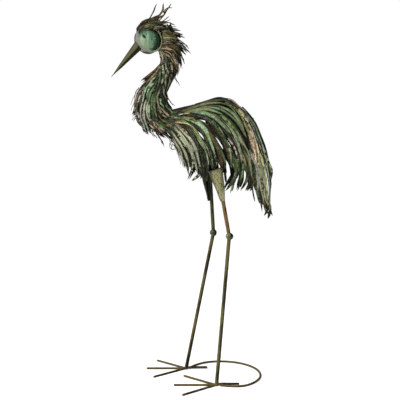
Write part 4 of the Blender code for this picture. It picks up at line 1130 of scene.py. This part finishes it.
# the under layer is painted dark: painted shade in the gaps between the broad blades
UNDER_PALETTE = (DEEP, FERN, BARK, SOOT_AND_SHADE, OLIVE, UMBER)


def under_blades():
    """Rows of blades over both flanks, spread over the share across with some chance in it."""
    groups = []
    share = np.linspace(0, 1, BLADE_STATIONS)
    for start, span, count, width, root_lift, tip_lift in UNDER_ROWS:
        for flipped in (False, True):
            across = ((np.arange(count) + rng.uniform(-0.3, 0.3, count) + 0.5) / count)[:, None]
            reach = (span + rng.uniform(-0.08, 0.06, count))[:, None]
            along = start + rng.uniform(-0.05, 0.05, count)[:, None] + reach * share
            lowest = 0.16 * np.clip(1.2 - 2 * along, 0, 1)
            lean = np.clip(across + rng.normal(0, 0.022, count)[:, None] * share, lowest, 0.995)
            out = flank_out(lean, along)
            line = flank(lean, along) + out * (root_lift + tip_lift * share**2)[..., None]
            twist = rng.normal(0, 0.2, count)[:, None] * share
            side = unit(np.cross(unit(np.gradient(line, axis=1)), out))
            out = out * np.cos(twist)[..., None] + side * np.sin(twist)[..., None]
            widths = width * rng.uniform(0.7, 1.2, count)
            coats = pick(UNDER_PALETTE, (4, 2, 2, 3, 2, 1), count, 0.9)
            unders = pick(UNDER_PALETTE, (4, 2, 2, 3, 1.5, 1), count, 0.9)
            groups.append((line, out, widths, coats, unders, np.full(count, flipped)))
    return groups


def laid_blades(rows, surface, flipped, stations):
    """Blades laid on a surface under their places in the picture, each a little higher than the one before it.

    Those of the far side are the same blades laid by another hand: moved, bent and painted a little otherwise.
    """
    count = len(rows)
    share = np.linspace(0, 1, stations)
    keys = np.array([row[4:] for row in rows], float).reshape(count, -1, 2)
    places = np.einsum("sk,nkc->nsc", reading(share, keys.shape[1]), keys)
    shade = np.ones((count, 1))
    if flipped:
        moved = rng.normal(0, HAND_SHIFT, (count, 1, 2)) + rng.normal(0, HAND_BEND, (count, 1, 2)) * share[:, None]
        moved[..., 1] = np.abs(moved[..., 1])
        places = places + moved
        shade = rng.uniform(0.75, 1.2, (count, 1))
    phase = rng.uniform(0, 2 * math.pi, (count, 1))
    waver = 0.35 * share * np.sin(7 * share + phase) + 0.2 * np.sin(13 * share + 2 * phase)
    places = places + waver[..., None] * (1.0, -0.5)
    depth, out = on_surface(places, *surface)
    height = LAYER_LIFT + LAYER_STEP * np.arange(count)[:, None] + TIP_LIFT * share**2
    lines = sight(places, depth - height * np.abs(out[..., 1]))
    lines[..., 2] += height * np.clip(out[..., 2], 0, 1) * 0.3
    roots, tips, widths, darks = (np.array([row[place] for row in rows]) for place in range(4))
    for colours, alpha in ((roots, darks), (tips, EDGE_DARK)):
        colours[:, :3] *= shade
        colours[:, 3] = alpha
    out = unit(out + np.array((0, -0.45, 0)))
    tilt = rng.normal(0, USUAL_TILT, count)[:, None, None]
    side = unit(np.cross(unit(np.gradient(lines, axis=1)), out))
    out = out * np.cos(tilt) + side * np.sin(tilt)
    return lines, out, widths / ROW_SCALE, roots, tips, np.full(count, flipped)


def near_flank():
    """A net of points on the near flank, and the way out at each."""
    across, along = np.meshgrid(np.linspace(0, 0.99, 40), np.linspace(-0.05, 1.0, 60), indexing="ij")
    return flank(across, along).reshape(-1, 3), flank_out(across, along).reshape(-1, 3)


def tuck_behind_thigh(lines):
    """Takes blades in behind the near thigh: inside its outline in the picture they run just within its inner side."""
    seen = picture_place(lines)
    slope = THIGH_EDGE[0] + (seen[..., 1] - THIGH_TOP) * THIGH_EDGE[1]
    inside = np.clip((seen[..., 0] - slope + THIGH_FADE) / THIGH_FADE, 0, 1)
    inside = inside * np.clip((THIGH_RIGHT + THIGH_FADE - seen[..., 0]) / THIGH_FADE, 0, 1)
    inside = inside * np.clip((seen[..., 1] - THIGH_TOP + 5) / 4, 0, 1)
    behind = SHIFT[1] + THIGH_INNER
    lines[..., 1] = np.maximum(lines[..., 1], lines[..., 1] + inside * (behind - lines[..., 1]))
    return lines


def gather(*sets):
    return [np.concatenate(group) for group in zip(*sets)]


flank_net = near_flank()
lines, outs, widths, *paints, mirror = gather(
    *under_blades(), *(laid_blades(BROAD_BLADES, flank_net, flipped, BLADE_STATIONS) for flipped in (True, False))
)
lines = as_they_lie(lines, mirror, lambda seen: part_for_daylight(seen, widths))
body = blade_piece("body_blades", (tuck_behind_thigh(lines), outs, widths, *paints, mirror), 0.12, 0.42)
welded(body, "patina_sheet", "body_feathers")


# Neck, nape and breast
#
# Some hundreds of short narrow strips, welded row under row to a sheet tube painted near black, as painted
# shade between them. They stand off at the nape and hang free below the breast. The outer ones are painted in
# patches.

NECK_FRONT = np.array((
    (-0.120, 0.915), (-0.112, 0.895), (-0.108, 0.876), (-0.111, 0.856), (-0.131, 0.834),
    (-0.158, 0.806), (-0.174, 0.776), (-0.179, 0.742), (-0.170, 0.706), (-0.138, 0.681),
))
NECK_BACK = np.array((
    (-0.066, 0.946), (-0.054, 0.916), (-0.053, 0.882), (-0.059, 0.850), (-0.073, 0.821),
    (-0.087, 0.794), (-0.089, 0.773), (-0.084, 0.757), (-0.076, 0.744), (-0.065, 0.735),
))
NECK_SIDE_SHARE = 0.88
NECK_START = -0.09
STRIP_STATIONS = 9
STRIP_SPAN = 0.15
STRIP_LIFT = 0.003
TUCK_MARGIN = 0.012
TUCK_FADE = 0.008
TUCK_INNER = 0.0075
TUBE_INSET = 0.005
ASH = paint(120, 122, 104)

# the outer strips of the near side: colour at the root and at the tip, half width, how dark the tip is, and
# three places across and down the picture from root to tip
# the near black ones among them are painted shade for the dark gaps between the others
NECK_STRIPS = (
    (BARK, SOOT_AND_SHADE, 1.2, 0.8, 158, 27.5, 165, 28.4, 173, 28.7),
    (OLIVE, MUSTARD, 1.6, 0.4, 158, 32, 167, 31.5, 177, 35.5),
    (MUSTARD, OLIVE, 1.6, 0.4, 159, 35, 168, 34, 177.5, 38.4),
    (OLIVE, KHAKI, 1.5, 0.4, 160, 37.4, 168, 36.7, 178, 40.4),
    (KHAKI, SAGE, 0.9, 0.1, 160.5, 38.7, 168, 37.9, 176.4, 38.4),
    (FERN, OLIVE, 1.4, 0.4, 161, 41, 169, 39.8, 178, 43),
    (BARK, LILAC, 1.2, 0.5, 162, 43, 172, 41.4, 184, 47),
    (UMBER, BARK, 1.4, 0.4, 161, 45, 170, 43.5, 179, 49),
    (UMBER, BARK, 0.8, 1.0, 170, 35, 181, 41.6, 189.2, 48.8),
    (KHAKI, BARK, 0.8, 1.0, 174, 37, 182.4, 42.4, 187.6, 47),
    (BARK, LILAC, 0.7, 0.8, 173, 40, 182, 45.6, 188.6, 50.6),
    (FERN, BARK, 0.9, 1.0, 171, 40, 180, 46.6, 187.2, 53),
    (RUST, UMBER, 1.1, 0.3, 162, 47, 173, 47.6, 181, 56),
    (UMBER, OLIVE, 1.5, 0.4, 165, 46, 176, 48.6, 182.6, 58),
    (OLIVE, FERN, 1.2, 1.0, 171, 46, 180, 52.4, 184.2, 64.4),
    (KHAKI_ROD, UMBER, 1.1, 0.4, 165, 50, 175, 52, 180.6, 62),
    (ROSE, KHAKI, 0.8, 0.2, 160.5, 48.6, 167, 48.8, 174, 50.6),
    (BARK, DEEP, 1.2, 1.0, 174, 51, 180, 58, 182, 66.2),
    (TAN, ROSE, 0.9, 0.2, 163, 50.4, 168.4, 52.2, 173.4, 57),
    (ROSE, UMBER, 1.0, 0.3, 163, 53, 169.6, 57, 174.6, 64.6),
    (LILAC, LILAC, 1.0, 0.6, 173, 57, 178.6, 66, 177.2, 75.6),
    (BARK, SOOT_AND_SHADE, 0.35, 0.5, 171, 72, 174.6, 77.6, 176.8, 83),
    (KHAKI, UMBER, 1.2, 0.4, 169, 55, 175.4, 62, 176.4, 71.6),
    (UMBER, BARK, 1.3, 0.4, 170, 58, 174.4, 66, 173.4, 77),
    (JADE, DEEP, 1.1, 0.2, 164.6, 54.6, 166.6, 60, 167, 67),
    (TAN, LILAC, 0.8, 0.1, 158, 50, 162, 54.6, 163.6, 62.6),
    (BARK, SOOT_AND_SHADE, 0.8, 0.6, 163, 51.6, 169, 54.6, 174, 61),
    (SOOT_AND_SHADE, BARK, 0.7, 0.6, 162, 50.2, 168, 50.8, 175, 54),
    (ROSE, LILAC, 0.5, 0.2, 165, 46.4, 171, 51.6, 175.4, 58.6),
    (ROSE, UMBER, 0.5, 0.3, 167, 47.6, 172.6, 50.2, 178.4, 57),
    (SEA, VERDIGRIS, 0.6, 0.1, 161, 50.6, 164.4, 55, 165.2, 63),
    (LILAC, UMBER, 0.8, 0.3, 158.8, 52, 161.4, 58, 161.6, 66.4),
    (ASH, DEEP, 1.4, 0.3, 165, 60, 167, 70, 166, 81),
    (ASH, FERN, 1.3, 0.3, 162, 64, 163.4, 74, 161.6, 85),
    (DEEP, SOOT_AND_SHADE, 1.1, 0.3, 168, 60, 169.6, 70, 168.6, 82),
    (KHAKI, BARK, 1.1, 0.4, 171, 62, 172, 72, 169.6, 83.6),
    (ASH, ASH, 1.2, 0.2, 168, 70, 169.2, 80, 166.6, 91),
    (ASH, UMBER, 1.1, 0.4, 164.4, 72, 165.4, 82, 163.8, 93),
    (FERN, DEEP, 1.4, 0.3, 160, 70, 159.6, 80, 156.6, 91),
    (UMBER, BARK, 1.3, 1.0, 160.4, 64.6, 152, 72.8, 140.8, 81.2),
    (RUST, UMBER, 1.1, 0.4, 158.6, 70, 152, 75.4, 144, 80),
    (OLIVE, BARK, 1.3, 0.3, 163, 64, 157, 74, 148, 83.6),
    (KHAKI, MUSTARD, 1.0, 0.1, 161.6, 65, 155, 74, 144.4, 84.6),
    (BARK, SOOT_AND_SHADE, 1.0, 0.4, 151, 78, 142.8, 85.4, 137, 94),
    (SAGE, FERN, 1.2, 0.2, 156, 76, 150.4, 83, 147, 91),
    (TEAL, SEA, 1.3, 0.1, 151.4, 82.6, 146, 88.2, 143.4, 98),
    (TEAL, VERDIGRIS, 1.3, 0.1, 153.6, 83, 149, 89.2, 146.8, 99),
    (SEA, TEAL, 1.0, 0.2, 148, 85, 144.2, 93, 142.4, 104),
    (VERDIGRIS, GRASS, 1.2, 0.2, 154.4, 86, 150, 94, 148.2, 104),
    (ROSE, LILAC, 1.1, 0.3, 142, 89.4, 137.4, 96, 135.8, 105),
    (LILAC, BARK, 1.2, 0.8, 140.6, 95, 137, 103.4, 132.4, 114.4),
    (OLIVE, KHAKI_ROD, 1.0, 0.3, 138.4, 98.4, 136.8, 106, 137.4, 115),
    (SOOT_AND_SHADE, SOOT_AND_SHADE, 0.4, 0.5, 137, 102, 134.6, 109, 132.2, 115),
    (SOOT_AND_SHADE, LILAC, 0.35, 0.5, 137, 96, 133.4, 104, 131, 111),
    (LILAC, LILAC, 0.4, 0.5, 138, 112, 134.6, 117, 132, 120),
    (LILAC, LILAC, 0.3, 0.5, 136, 93, 132.6, 99, 130.8, 105),
    (BARK, SOOT_AND_SHADE, 0.5, 0.8, 139, 87.6, 135.4, 93, 134.4, 99.6),
    (LILAC, ASH, 1.2, 0.2, 142.4, 102, 140.6, 112, 142.4, 123),
    (SOOT_AND_SHADE, SOOT_AND_SHADE, 0.8, 0.5, 141.6, 98, 139.4, 106, 139.8, 115),
    (ASH, LILAC, 1.3, 0.2, 146.2, 100, 143.8, 110, 145.2, 122),
    (SOOT_AND_SHADE, DEEP, 0.8, 0.5, 144.6, 103, 144.6, 112, 147.2, 121),
    (ASH, STEEL, 1.2, 0.2, 148.2, 101, 146.8, 111, 149.6, 122),
    (LILAC, SOOT_AND_SHADE, 1.0, 1.0, 137.6, 112, 139.8, 121, 144.4, 132.4),
    (LILAC, ASH, 1.2, 0.5, 140, 115, 143, 124, 147.6, 134),
    (ASH, FOAM, 1.1, 0.4, 142.4, 116, 146, 124, 149.6, 132.4),
    (SOOT_AND_SHADE, SOOT_AND_SHADE, 0.7, 0.6, 139.6, 117, 141.6, 124, 144, 130.6),
    (BARK, DEEP, 1.4, 0.4, 150, 111, 158.5, 122, 168, 130),
    (DEEP, BARK, 1.3, 0.4, 152, 112, 160, 124, 169, 132.5),
    (UMBER, BARK, 1.3, 0.4, 148, 118, 156, 126, 166, 134),
    (OLIVE, UMBER, 1.3, 0.4, 151, 114, 160, 123, 170, 132),
    (BARK, UMBER, 1.2, 0.5, 147, 119, 154, 127, 162, 133.5),
    (FERN, BARK, 1.2, 0.4, 152, 117, 161, 126, 171, 134.6),
    (UMBER, BARK, 0.7, 0.5, 148, 120, 156, 128.6, 165, 134.4),
    (LILAC, UMBER, 0.6, 0.4, 150, 118, 157, 126.4, 165, 132),
    (SEA, FERN, 1.3, 0.3, 149.6, 104, 148.8, 114, 152.4, 124),
    (FERN, DEEP, 1.6, 0.3, 153, 94, 151.2, 106, 154.6, 119),
    (FERN, SAGE, 1.6, 0.3, 156, 91, 153.8, 104, 156.6, 118),
    (SAGE, KHAKI, 1.4, 0.2, 159.8, 89, 156.8, 100, 160.4, 111),
    (SOOT_AND_SHADE, SOOT_AND_SHADE, 1.0, 0.5, 161.6, 87, 161.2, 96, 164.4, 105),
    (SEA, BARK, 1.0, 0.4, 160, 98, 161.4, 104.6, 166, 111),
    (ASH, SAGE, 1.0, 0.3, 163.2, 86, 163.8, 94, 168.6, 103),
    (BARK, RUST, 1.0, 0.6, 164.8, 95, 166.8, 102, 172.6, 109),
    (BARK, SOOT_AND_SHADE, 0.4, 0.5, 165.4, 92, 168, 99, 173, 105.4),
    (SEA, FERN, 1.3, 0.4, 165, 105, 170.6, 111.6, 175.8, 119.4),
    (SAGE, ROSE, 0.9, 0.4, 160, 107, 166.8, 114.8, 175.4, 120.6),
    (KHAKI, BARK, 1.0, 0.4, 158, 109.4, 164.8, 117, 173.4, 123),
    (UMBER, BARK, 1.2, 0.4, 156, 113, 162.8, 120.8, 171.6, 126),
    (ROSE, UMBER, 0.9, 0.3, 163, 109, 169, 116, 176, 123),
    (GRASS, FERN, 1.4, 0.3, 161.4, 119.6, 169.6, 125, 177.2, 131.6),
    (FERN, DEEP, 1.4, 0.3, 157.6, 120.6, 165, 126, 174, 131.4),
    (GRASS, DEEP, 1.4, 0.3, 159, 124, 166.6, 128.8, 174.4, 134),
    (ASH, BARK, 0.9, 0.5, 155.6, 122.4, 163, 129, 171.4, 135.6),
    (TAN, UMBER, 0.9, 0.6, 152.6, 123.4, 159.8, 130, 167.2, 136.6),
    (STRAW, BARK, 0.9, 0.7, 149.6, 124.4, 155.6, 131, 161.4, 136.8),
    (SOOT_AND_SHADE, SOOT_AND_SHADE, 0.45, 0.6, 149.4, 129, 151.8, 134, 154.8, 137.2),
    (BARK, SOOT_AND_SHADE, 0.7, 0.8, 154.4, 130, 158.6, 136, 161.8, 140.4),
    (LILAC, LILAC, 0.35, 0.5, 157.4, 135, 161, 140.6, 163, 145.4),
    (BARK, LILAC, 0.35, 0.5, 166.4, 136, 169.8, 140.6, 171, 145.8),
    (LILAC, LILAC, 0.3, 0.3, 169.6, 143, 170.6, 149, 175.4, 148.2),
    (SAGE, PALE_SAGE, 0.9, 0.4, 169, 132.4, 175.8, 139.4, 181.4, 147.6),
    (BARK, SOOT_AND_SHADE, 0.9, 0.6, 167, 134.6, 173.6, 141.6, 180.2, 149.6),
    (STRAW, SAGE, 0.8, 0.4, 171, 131.4, 177.6, 137.8, 183.4, 146),
)


def neck_skin(share, angle, lift=0.0):
    """The neck over its length and turn, 0 the throat and pi the nape: an ellipse between the two outlines."""
    keys = reading(share, len(NECK_FRONT))
    front, back = keys @ NECK_FRONT, keys @ NECK_BACK
    middle = (front + back) / 2
    radius = np.linalg.norm(front - back, axis=-1) / 2
    way = (front - back) / (2 * radius[..., None])
    zero = np.zeros_like(radius)
    middle = np.stack([middle[..., 0], zero, middle[..., 1]], axis=-1) + LEVEL_SHIFT
    way = np.stack([way[..., 0], zero, way[..., 1]], axis=-1)
    out = way * np.cos(angle)[..., None] - np.array((0, NECK_SIDE_SHARE, 0)) * np.sin(angle)[..., None]
    return middle + out * (radius + lift)[..., None], unit(out)


def near_neck():
    """A net of points on the near half of the neck, and the way out at each."""
    share, angle = np.meshgrid(np.linspace(NECK_START, 1.0, 60), np.linspace(0, math.pi, 24), indexing="ij")
    net, out = neck_skin(share, angle)
    return net.reshape(-1, 3), out.reshape(-1, 3)


def under_strips(rows, per_row, first, last, width):
    """Rows of dark strips round the neck; each starts close to the tube and stands off at its tip."""
    count = rows * per_row
    share = np.linspace(0, 1, STRIP_STATIONS)
    row = np.repeat(np.arange(rows), per_row)
    step = 2 * math.pi / per_row
    angle = (np.tile(np.arange(per_row), rows) + 0.5 * (row % 2) + rng.uniform(-0.4, 0.4, count)) * step
    begin = first + (last - first) * row / (rows - 1) + rng.uniform(-0.02, 0.02, count)
    place = begin[:, None] + (STRIP_SPAN * rng.uniform(0.75, 1.3, count))[:, None] * share
    turn = angle[:, None] + rng.normal(0, 0.16, count)[:, None] * share
    nape = np.clip(-np.cos(angle), 0, 1) * np.clip(1 - begin / 0.55, 0, 1)
    tip = STRIP_LIFT + 0.002 * nape + rng.uniform(-0.003, 0.001, count)
    line, out = neck_skin(place, turn, -0.003 + tip[:, None] * share**1.6)
    coats = pick((DEEP, FERN, BARK, UMBER, OLIVE, ASH, KHAKI), (3, 2, 3, 2, 2, 1.5, 1.5), count, 0.4)
    unders = pick((DEEP, SOOT_AND_SHADE, BARK, UMBER, FERN, LILAC), (3, 1.5, 2, 1.4, 2, 1.4), count, 0.6)
    return line, out, width * rng.uniform(0.6, 1.3, count), coats, unders, np.zeros(count, bool)


def tuck_behind_cheeks(lines):
    """Takes strips in between the cheeks: inside a cheek's outline they run just within the plane of its lip."""
    off = lines - HEAD_CENTRE
    far = np.hypot(off[..., 0] / math.cos(HEAD_YAW) - CHEEK_BACK, off[..., 2])
    inside = np.clip((CHEEK_RADIUS + TUCK_MARGIN - far) / TUCK_FADE, 0, 1)
    half = HEAD_WIDTH / 2 / math.cos(HEAD_YAW) - TUCK_INNER
    plane = off[..., 0] * math.tan(HEAD_YAW)
    lines[..., 1] += inside * (np.clip(off[..., 1], plane - half, plane + half) - off[..., 1])
    return lines


neck_net = near_neck()
lines, *others, mirror = gather(
    under_strips(12, 24, NECK_START, 0.45, 0.0027),
    under_strips(11, 30, 0.40, 0.84, 0.0030),
    *(laid_blades(NECK_STRIPS, neck_net, flipped, STRIP_STATIONS) for flipped in (True, False)),
)
lines = as_they_lie(lines, mirror, tuck_behind_cheeks)
neck = blade_piece("neck_strips", (lines, *others, mirror), 0.12, 0.5)
welded(neck, "patina_sheet", "neck_feathers")


def neck_tube(name, material):
    """The tube under the strips: the neck's own skin drawn in by a few millimetres."""
    rows, columns = 60, 40
    share = np.linspace(NECK_START, 0.99, rows)[:, None] + np.zeros(columns)
    turn = np.arange(columns) * 2 * math.pi / columns + np.zeros((rows, 1))
    points = tuck_behind_cheeks(neck_skin(share, turn, -TUBE_INSET - 0.0015 * np.sin(9 * turn + 14 * share))[0])
    return mesh_piece(name, points, [block[:, ::-1] for block in skin_faces(rows, columns)], material)


# the tube under the strips is painted near black: painted shade between the strips
CORE_FINISH = rod_finish("painted_shade_core", SOOT_AND_SHADE, DEEP, SOOT_AND_SHADE, BARK)
tube = neck_tube("neck_tube", CORE_FINISH)
welded(tube, "patina_sheet", "neck_feathers")


# Crest
#
# Strips fanned over the top of the head from the forehead back, and a few long, thin plumes that stand up. The
# outer ones of the near side are laid one by one.

CREST_LINE = np.array(((-0.171, 0.951), (-0.158, 0.963), (-0.136, 0.969), (-0.108, 0.963), (-0.080, 0.951)))
CREST_HALF_WIDTH = 0.017
CREST_DROP = 0.022
FAR_CREST_STRIPS = 12

# the outer strips of the crest, written as those of the neck; the first twelve lie on the far side too
CREST_STRIPS = (
    (BARK, BARK, 1.2, 0.2, 136.8, 29.2, 142.8, 21.8, 151, 18.6),
    (UMBER, OLIVE, 1.5, 0.3, 138.6, 26.6, 147.6, 20.8, 159.6, 15),
    (OLIVE, UMBER, 1.1, 0.4, 149, 22.4, 156, 18, 162.4, 13),
    (RUST, OLIVE, 1.3, 0.2, 138, 28.6, 144.4, 23, 152.6, 19.8),
    (UMBER, MUSTARD, 1.5, 0.2, 138, 29.8, 146.4, 24, 158.6, 21.4),
    (FERN, DEEP, 1.5, 0.4, 147, 26.4, 157, 22.8, 167, 22.2),
    (MUSTARD, OLIVE, 1.6, 0.2, 140.6, 29.4, 150, 26.6, 163.6, 25),
    (OLIVE, FERN, 1.5, 0.3, 145, 28.6, 156, 24.6, 168.6, 23.4),
    (BARK, SOOT_AND_SHADE, 1.2, 0.4, 149, 29, 158, 26.6, 168, 26),
    (MUSTARD, KHAKI, 1.0, 0.2, 143.4, 27, 153, 24.4, 165.4, 25.8),
    (KHAKI, TAN, 0.5, 0.1, 150, 23.4, 152.2, 21.4, 154, 19.6),
    (LILAC, BARK, 0.8, 0.2, 142.4, 22.8, 146, 20.6, 151, 20),
    (BARK, UMBER, 1.0, 0.3, 149, 19.4, 153.2, 12.6, 156.6, 4.4),
    (UMBER, BARK, 1.0, 0.3, 155.6, 20, 161.8, 12.4, 163.6, 3.2),
    (UMBER, BARK, 1.0, 0.3, 159, 21.4, 165.2, 13.4, 170.9, 4),
    (MUSTARD, FERN, 1.0, 0.4, 163.4, 13.4, 166, 9.9, 168.4, 8),
    (BARK, BARK, 0.4, 0.4, 167.4, 8.8, 169.8, 8, 172, 8.5),
    (BARK, BARK, 0.5, 0.4, 159, 15, 162.6, 11.9, 165.6, 13.4),
    (UMBER, BARK, 0.5, 0.5, 162, 22, 165.8, 19.4, 168.9, 16.9),
    (OLIVE, BARK, 0.7, 0.5, 160, 22.4, 165.8, 22, 171, 20),
    (BARK, LILAC, 0.7, 0.6, 161, 23.8, 169, 23, 174.8, 25.8),
    (OLIVE, BARK, 0.8, 0.6, 159, 27, 168, 27, 175.8, 27.5),
    (UMBER, BARK, 0.7, 0.7, 164, 28.4, 171, 28.8, 178.4, 29.7),
    (BARK, SOOT_AND_SHADE, 0.9, 0.8, 163, 30, 172, 30.4, 181, 31.3),
    (BARK, LILAC, 0.5, 0.6, 168, 31, 174.6, 32.8, 180, 35),
)


def over_the_crest():
    """A net of points over the near half of the crest: its line, let down and out to the side in a quarter turn."""
    share, turn = np.meshgrid(np.linspace(0, 1.3, 40), np.linspace(0, 1, 8), indexing="ij")
    place = reading(share, len(CREST_LINE)) @ CREST_LINE
    angle = turn * math.pi / 2
    aside, down = CREST_HALF_WIDTH * np.sin(angle), CREST_DROP * (1 - np.cos(angle))
    net = np.stack([place[..., 0], -aside, place[..., 1] - down], axis=-1)
    out = np.stack([-0.2 + 0 * angle, -0.3 - np.sin(angle), np.cos(angle)], axis=-1)
    return net.reshape(-1, 3) + LEVEL_SHIFT, unit(out).reshape(-1, 3)


def fanned_strips(count):
    """Strips over the whole of the crest: parabolas that start on it, climb a little and droop towards the nape."""
    along = rng.uniform(0.0, 1.0, count)
    place = reading(along, len(CREST_LINE)) @ CREST_LINE
    side = np.clip(rng.normal(0, 0.55, count), -1.1, 1.1)
    root = np.stack([place[:, 0], 0.014 * side, place[:, 1] - 0.008 - 0.006 * side**2], axis=-1)
    length = rng.uniform(0.024, 0.044, count) * (0.8 + 0.3 * along)
    climb = np.radians(rng.uniform(2, 30, count) * (1.1 - 1.0 * along))
    way = np.stack([np.cos(climb), 0.25 * side, np.sin(climb)], axis=-1)
    middle = root + way * (length * 0.6)[:, None] + (0, 0, 0.002)
    tip = root + way * length[:, None] + np.stack([0 * length, 0 * length, -0.008 * along], axis=-1)
    share = np.linspace(0, 1, STRIP_STATIONS)[:, None]
    line = root[:, None] * (1 - share) ** 2 + middle[:, None] * 2 * share * (1 - share) + tip[:, None] * share**2
    outs = np.zeros_like(line) + (-0.35, 0, 0.6)
    outs[..., 1] = side[:, None] * 1.2
    coats = pick((OLIVE, UMBER, MUSTARD, RUST, FERN, KHAKI), (3, 3, 2, 1.5, 1.5, 1), count, 0.6)
    unders = pick((DEEP, SOOT_AND_SHADE, BARK, UMBER), (2, 2, 3, 2), count, 0.8)
    widths = rng.uniform(0.0018, 0.0034, count)
    return line + LEVEL_SHIFT, unit(outs), widths, coats, unders, np.zeros(count, bool)


crest_net = over_the_crest()
strips = gather(
    fanned_strips(90),
    laid_blades(CREST_STRIPS[:FAR_CREST_STRIPS], crest_net, True, STRIP_STATIONS),
    laid_blades(CREST_STRIPS, crest_net, False, STRIP_STATIONS),
)
crest = blade_piece("crest_strips", strips, 0.1, 0.5)
welded(crest, "patina_sheet", "crest_feathers")


# Box of the bird
#
# The box round the finished bird, over all shown pieces but the floor, in metres.

low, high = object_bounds()
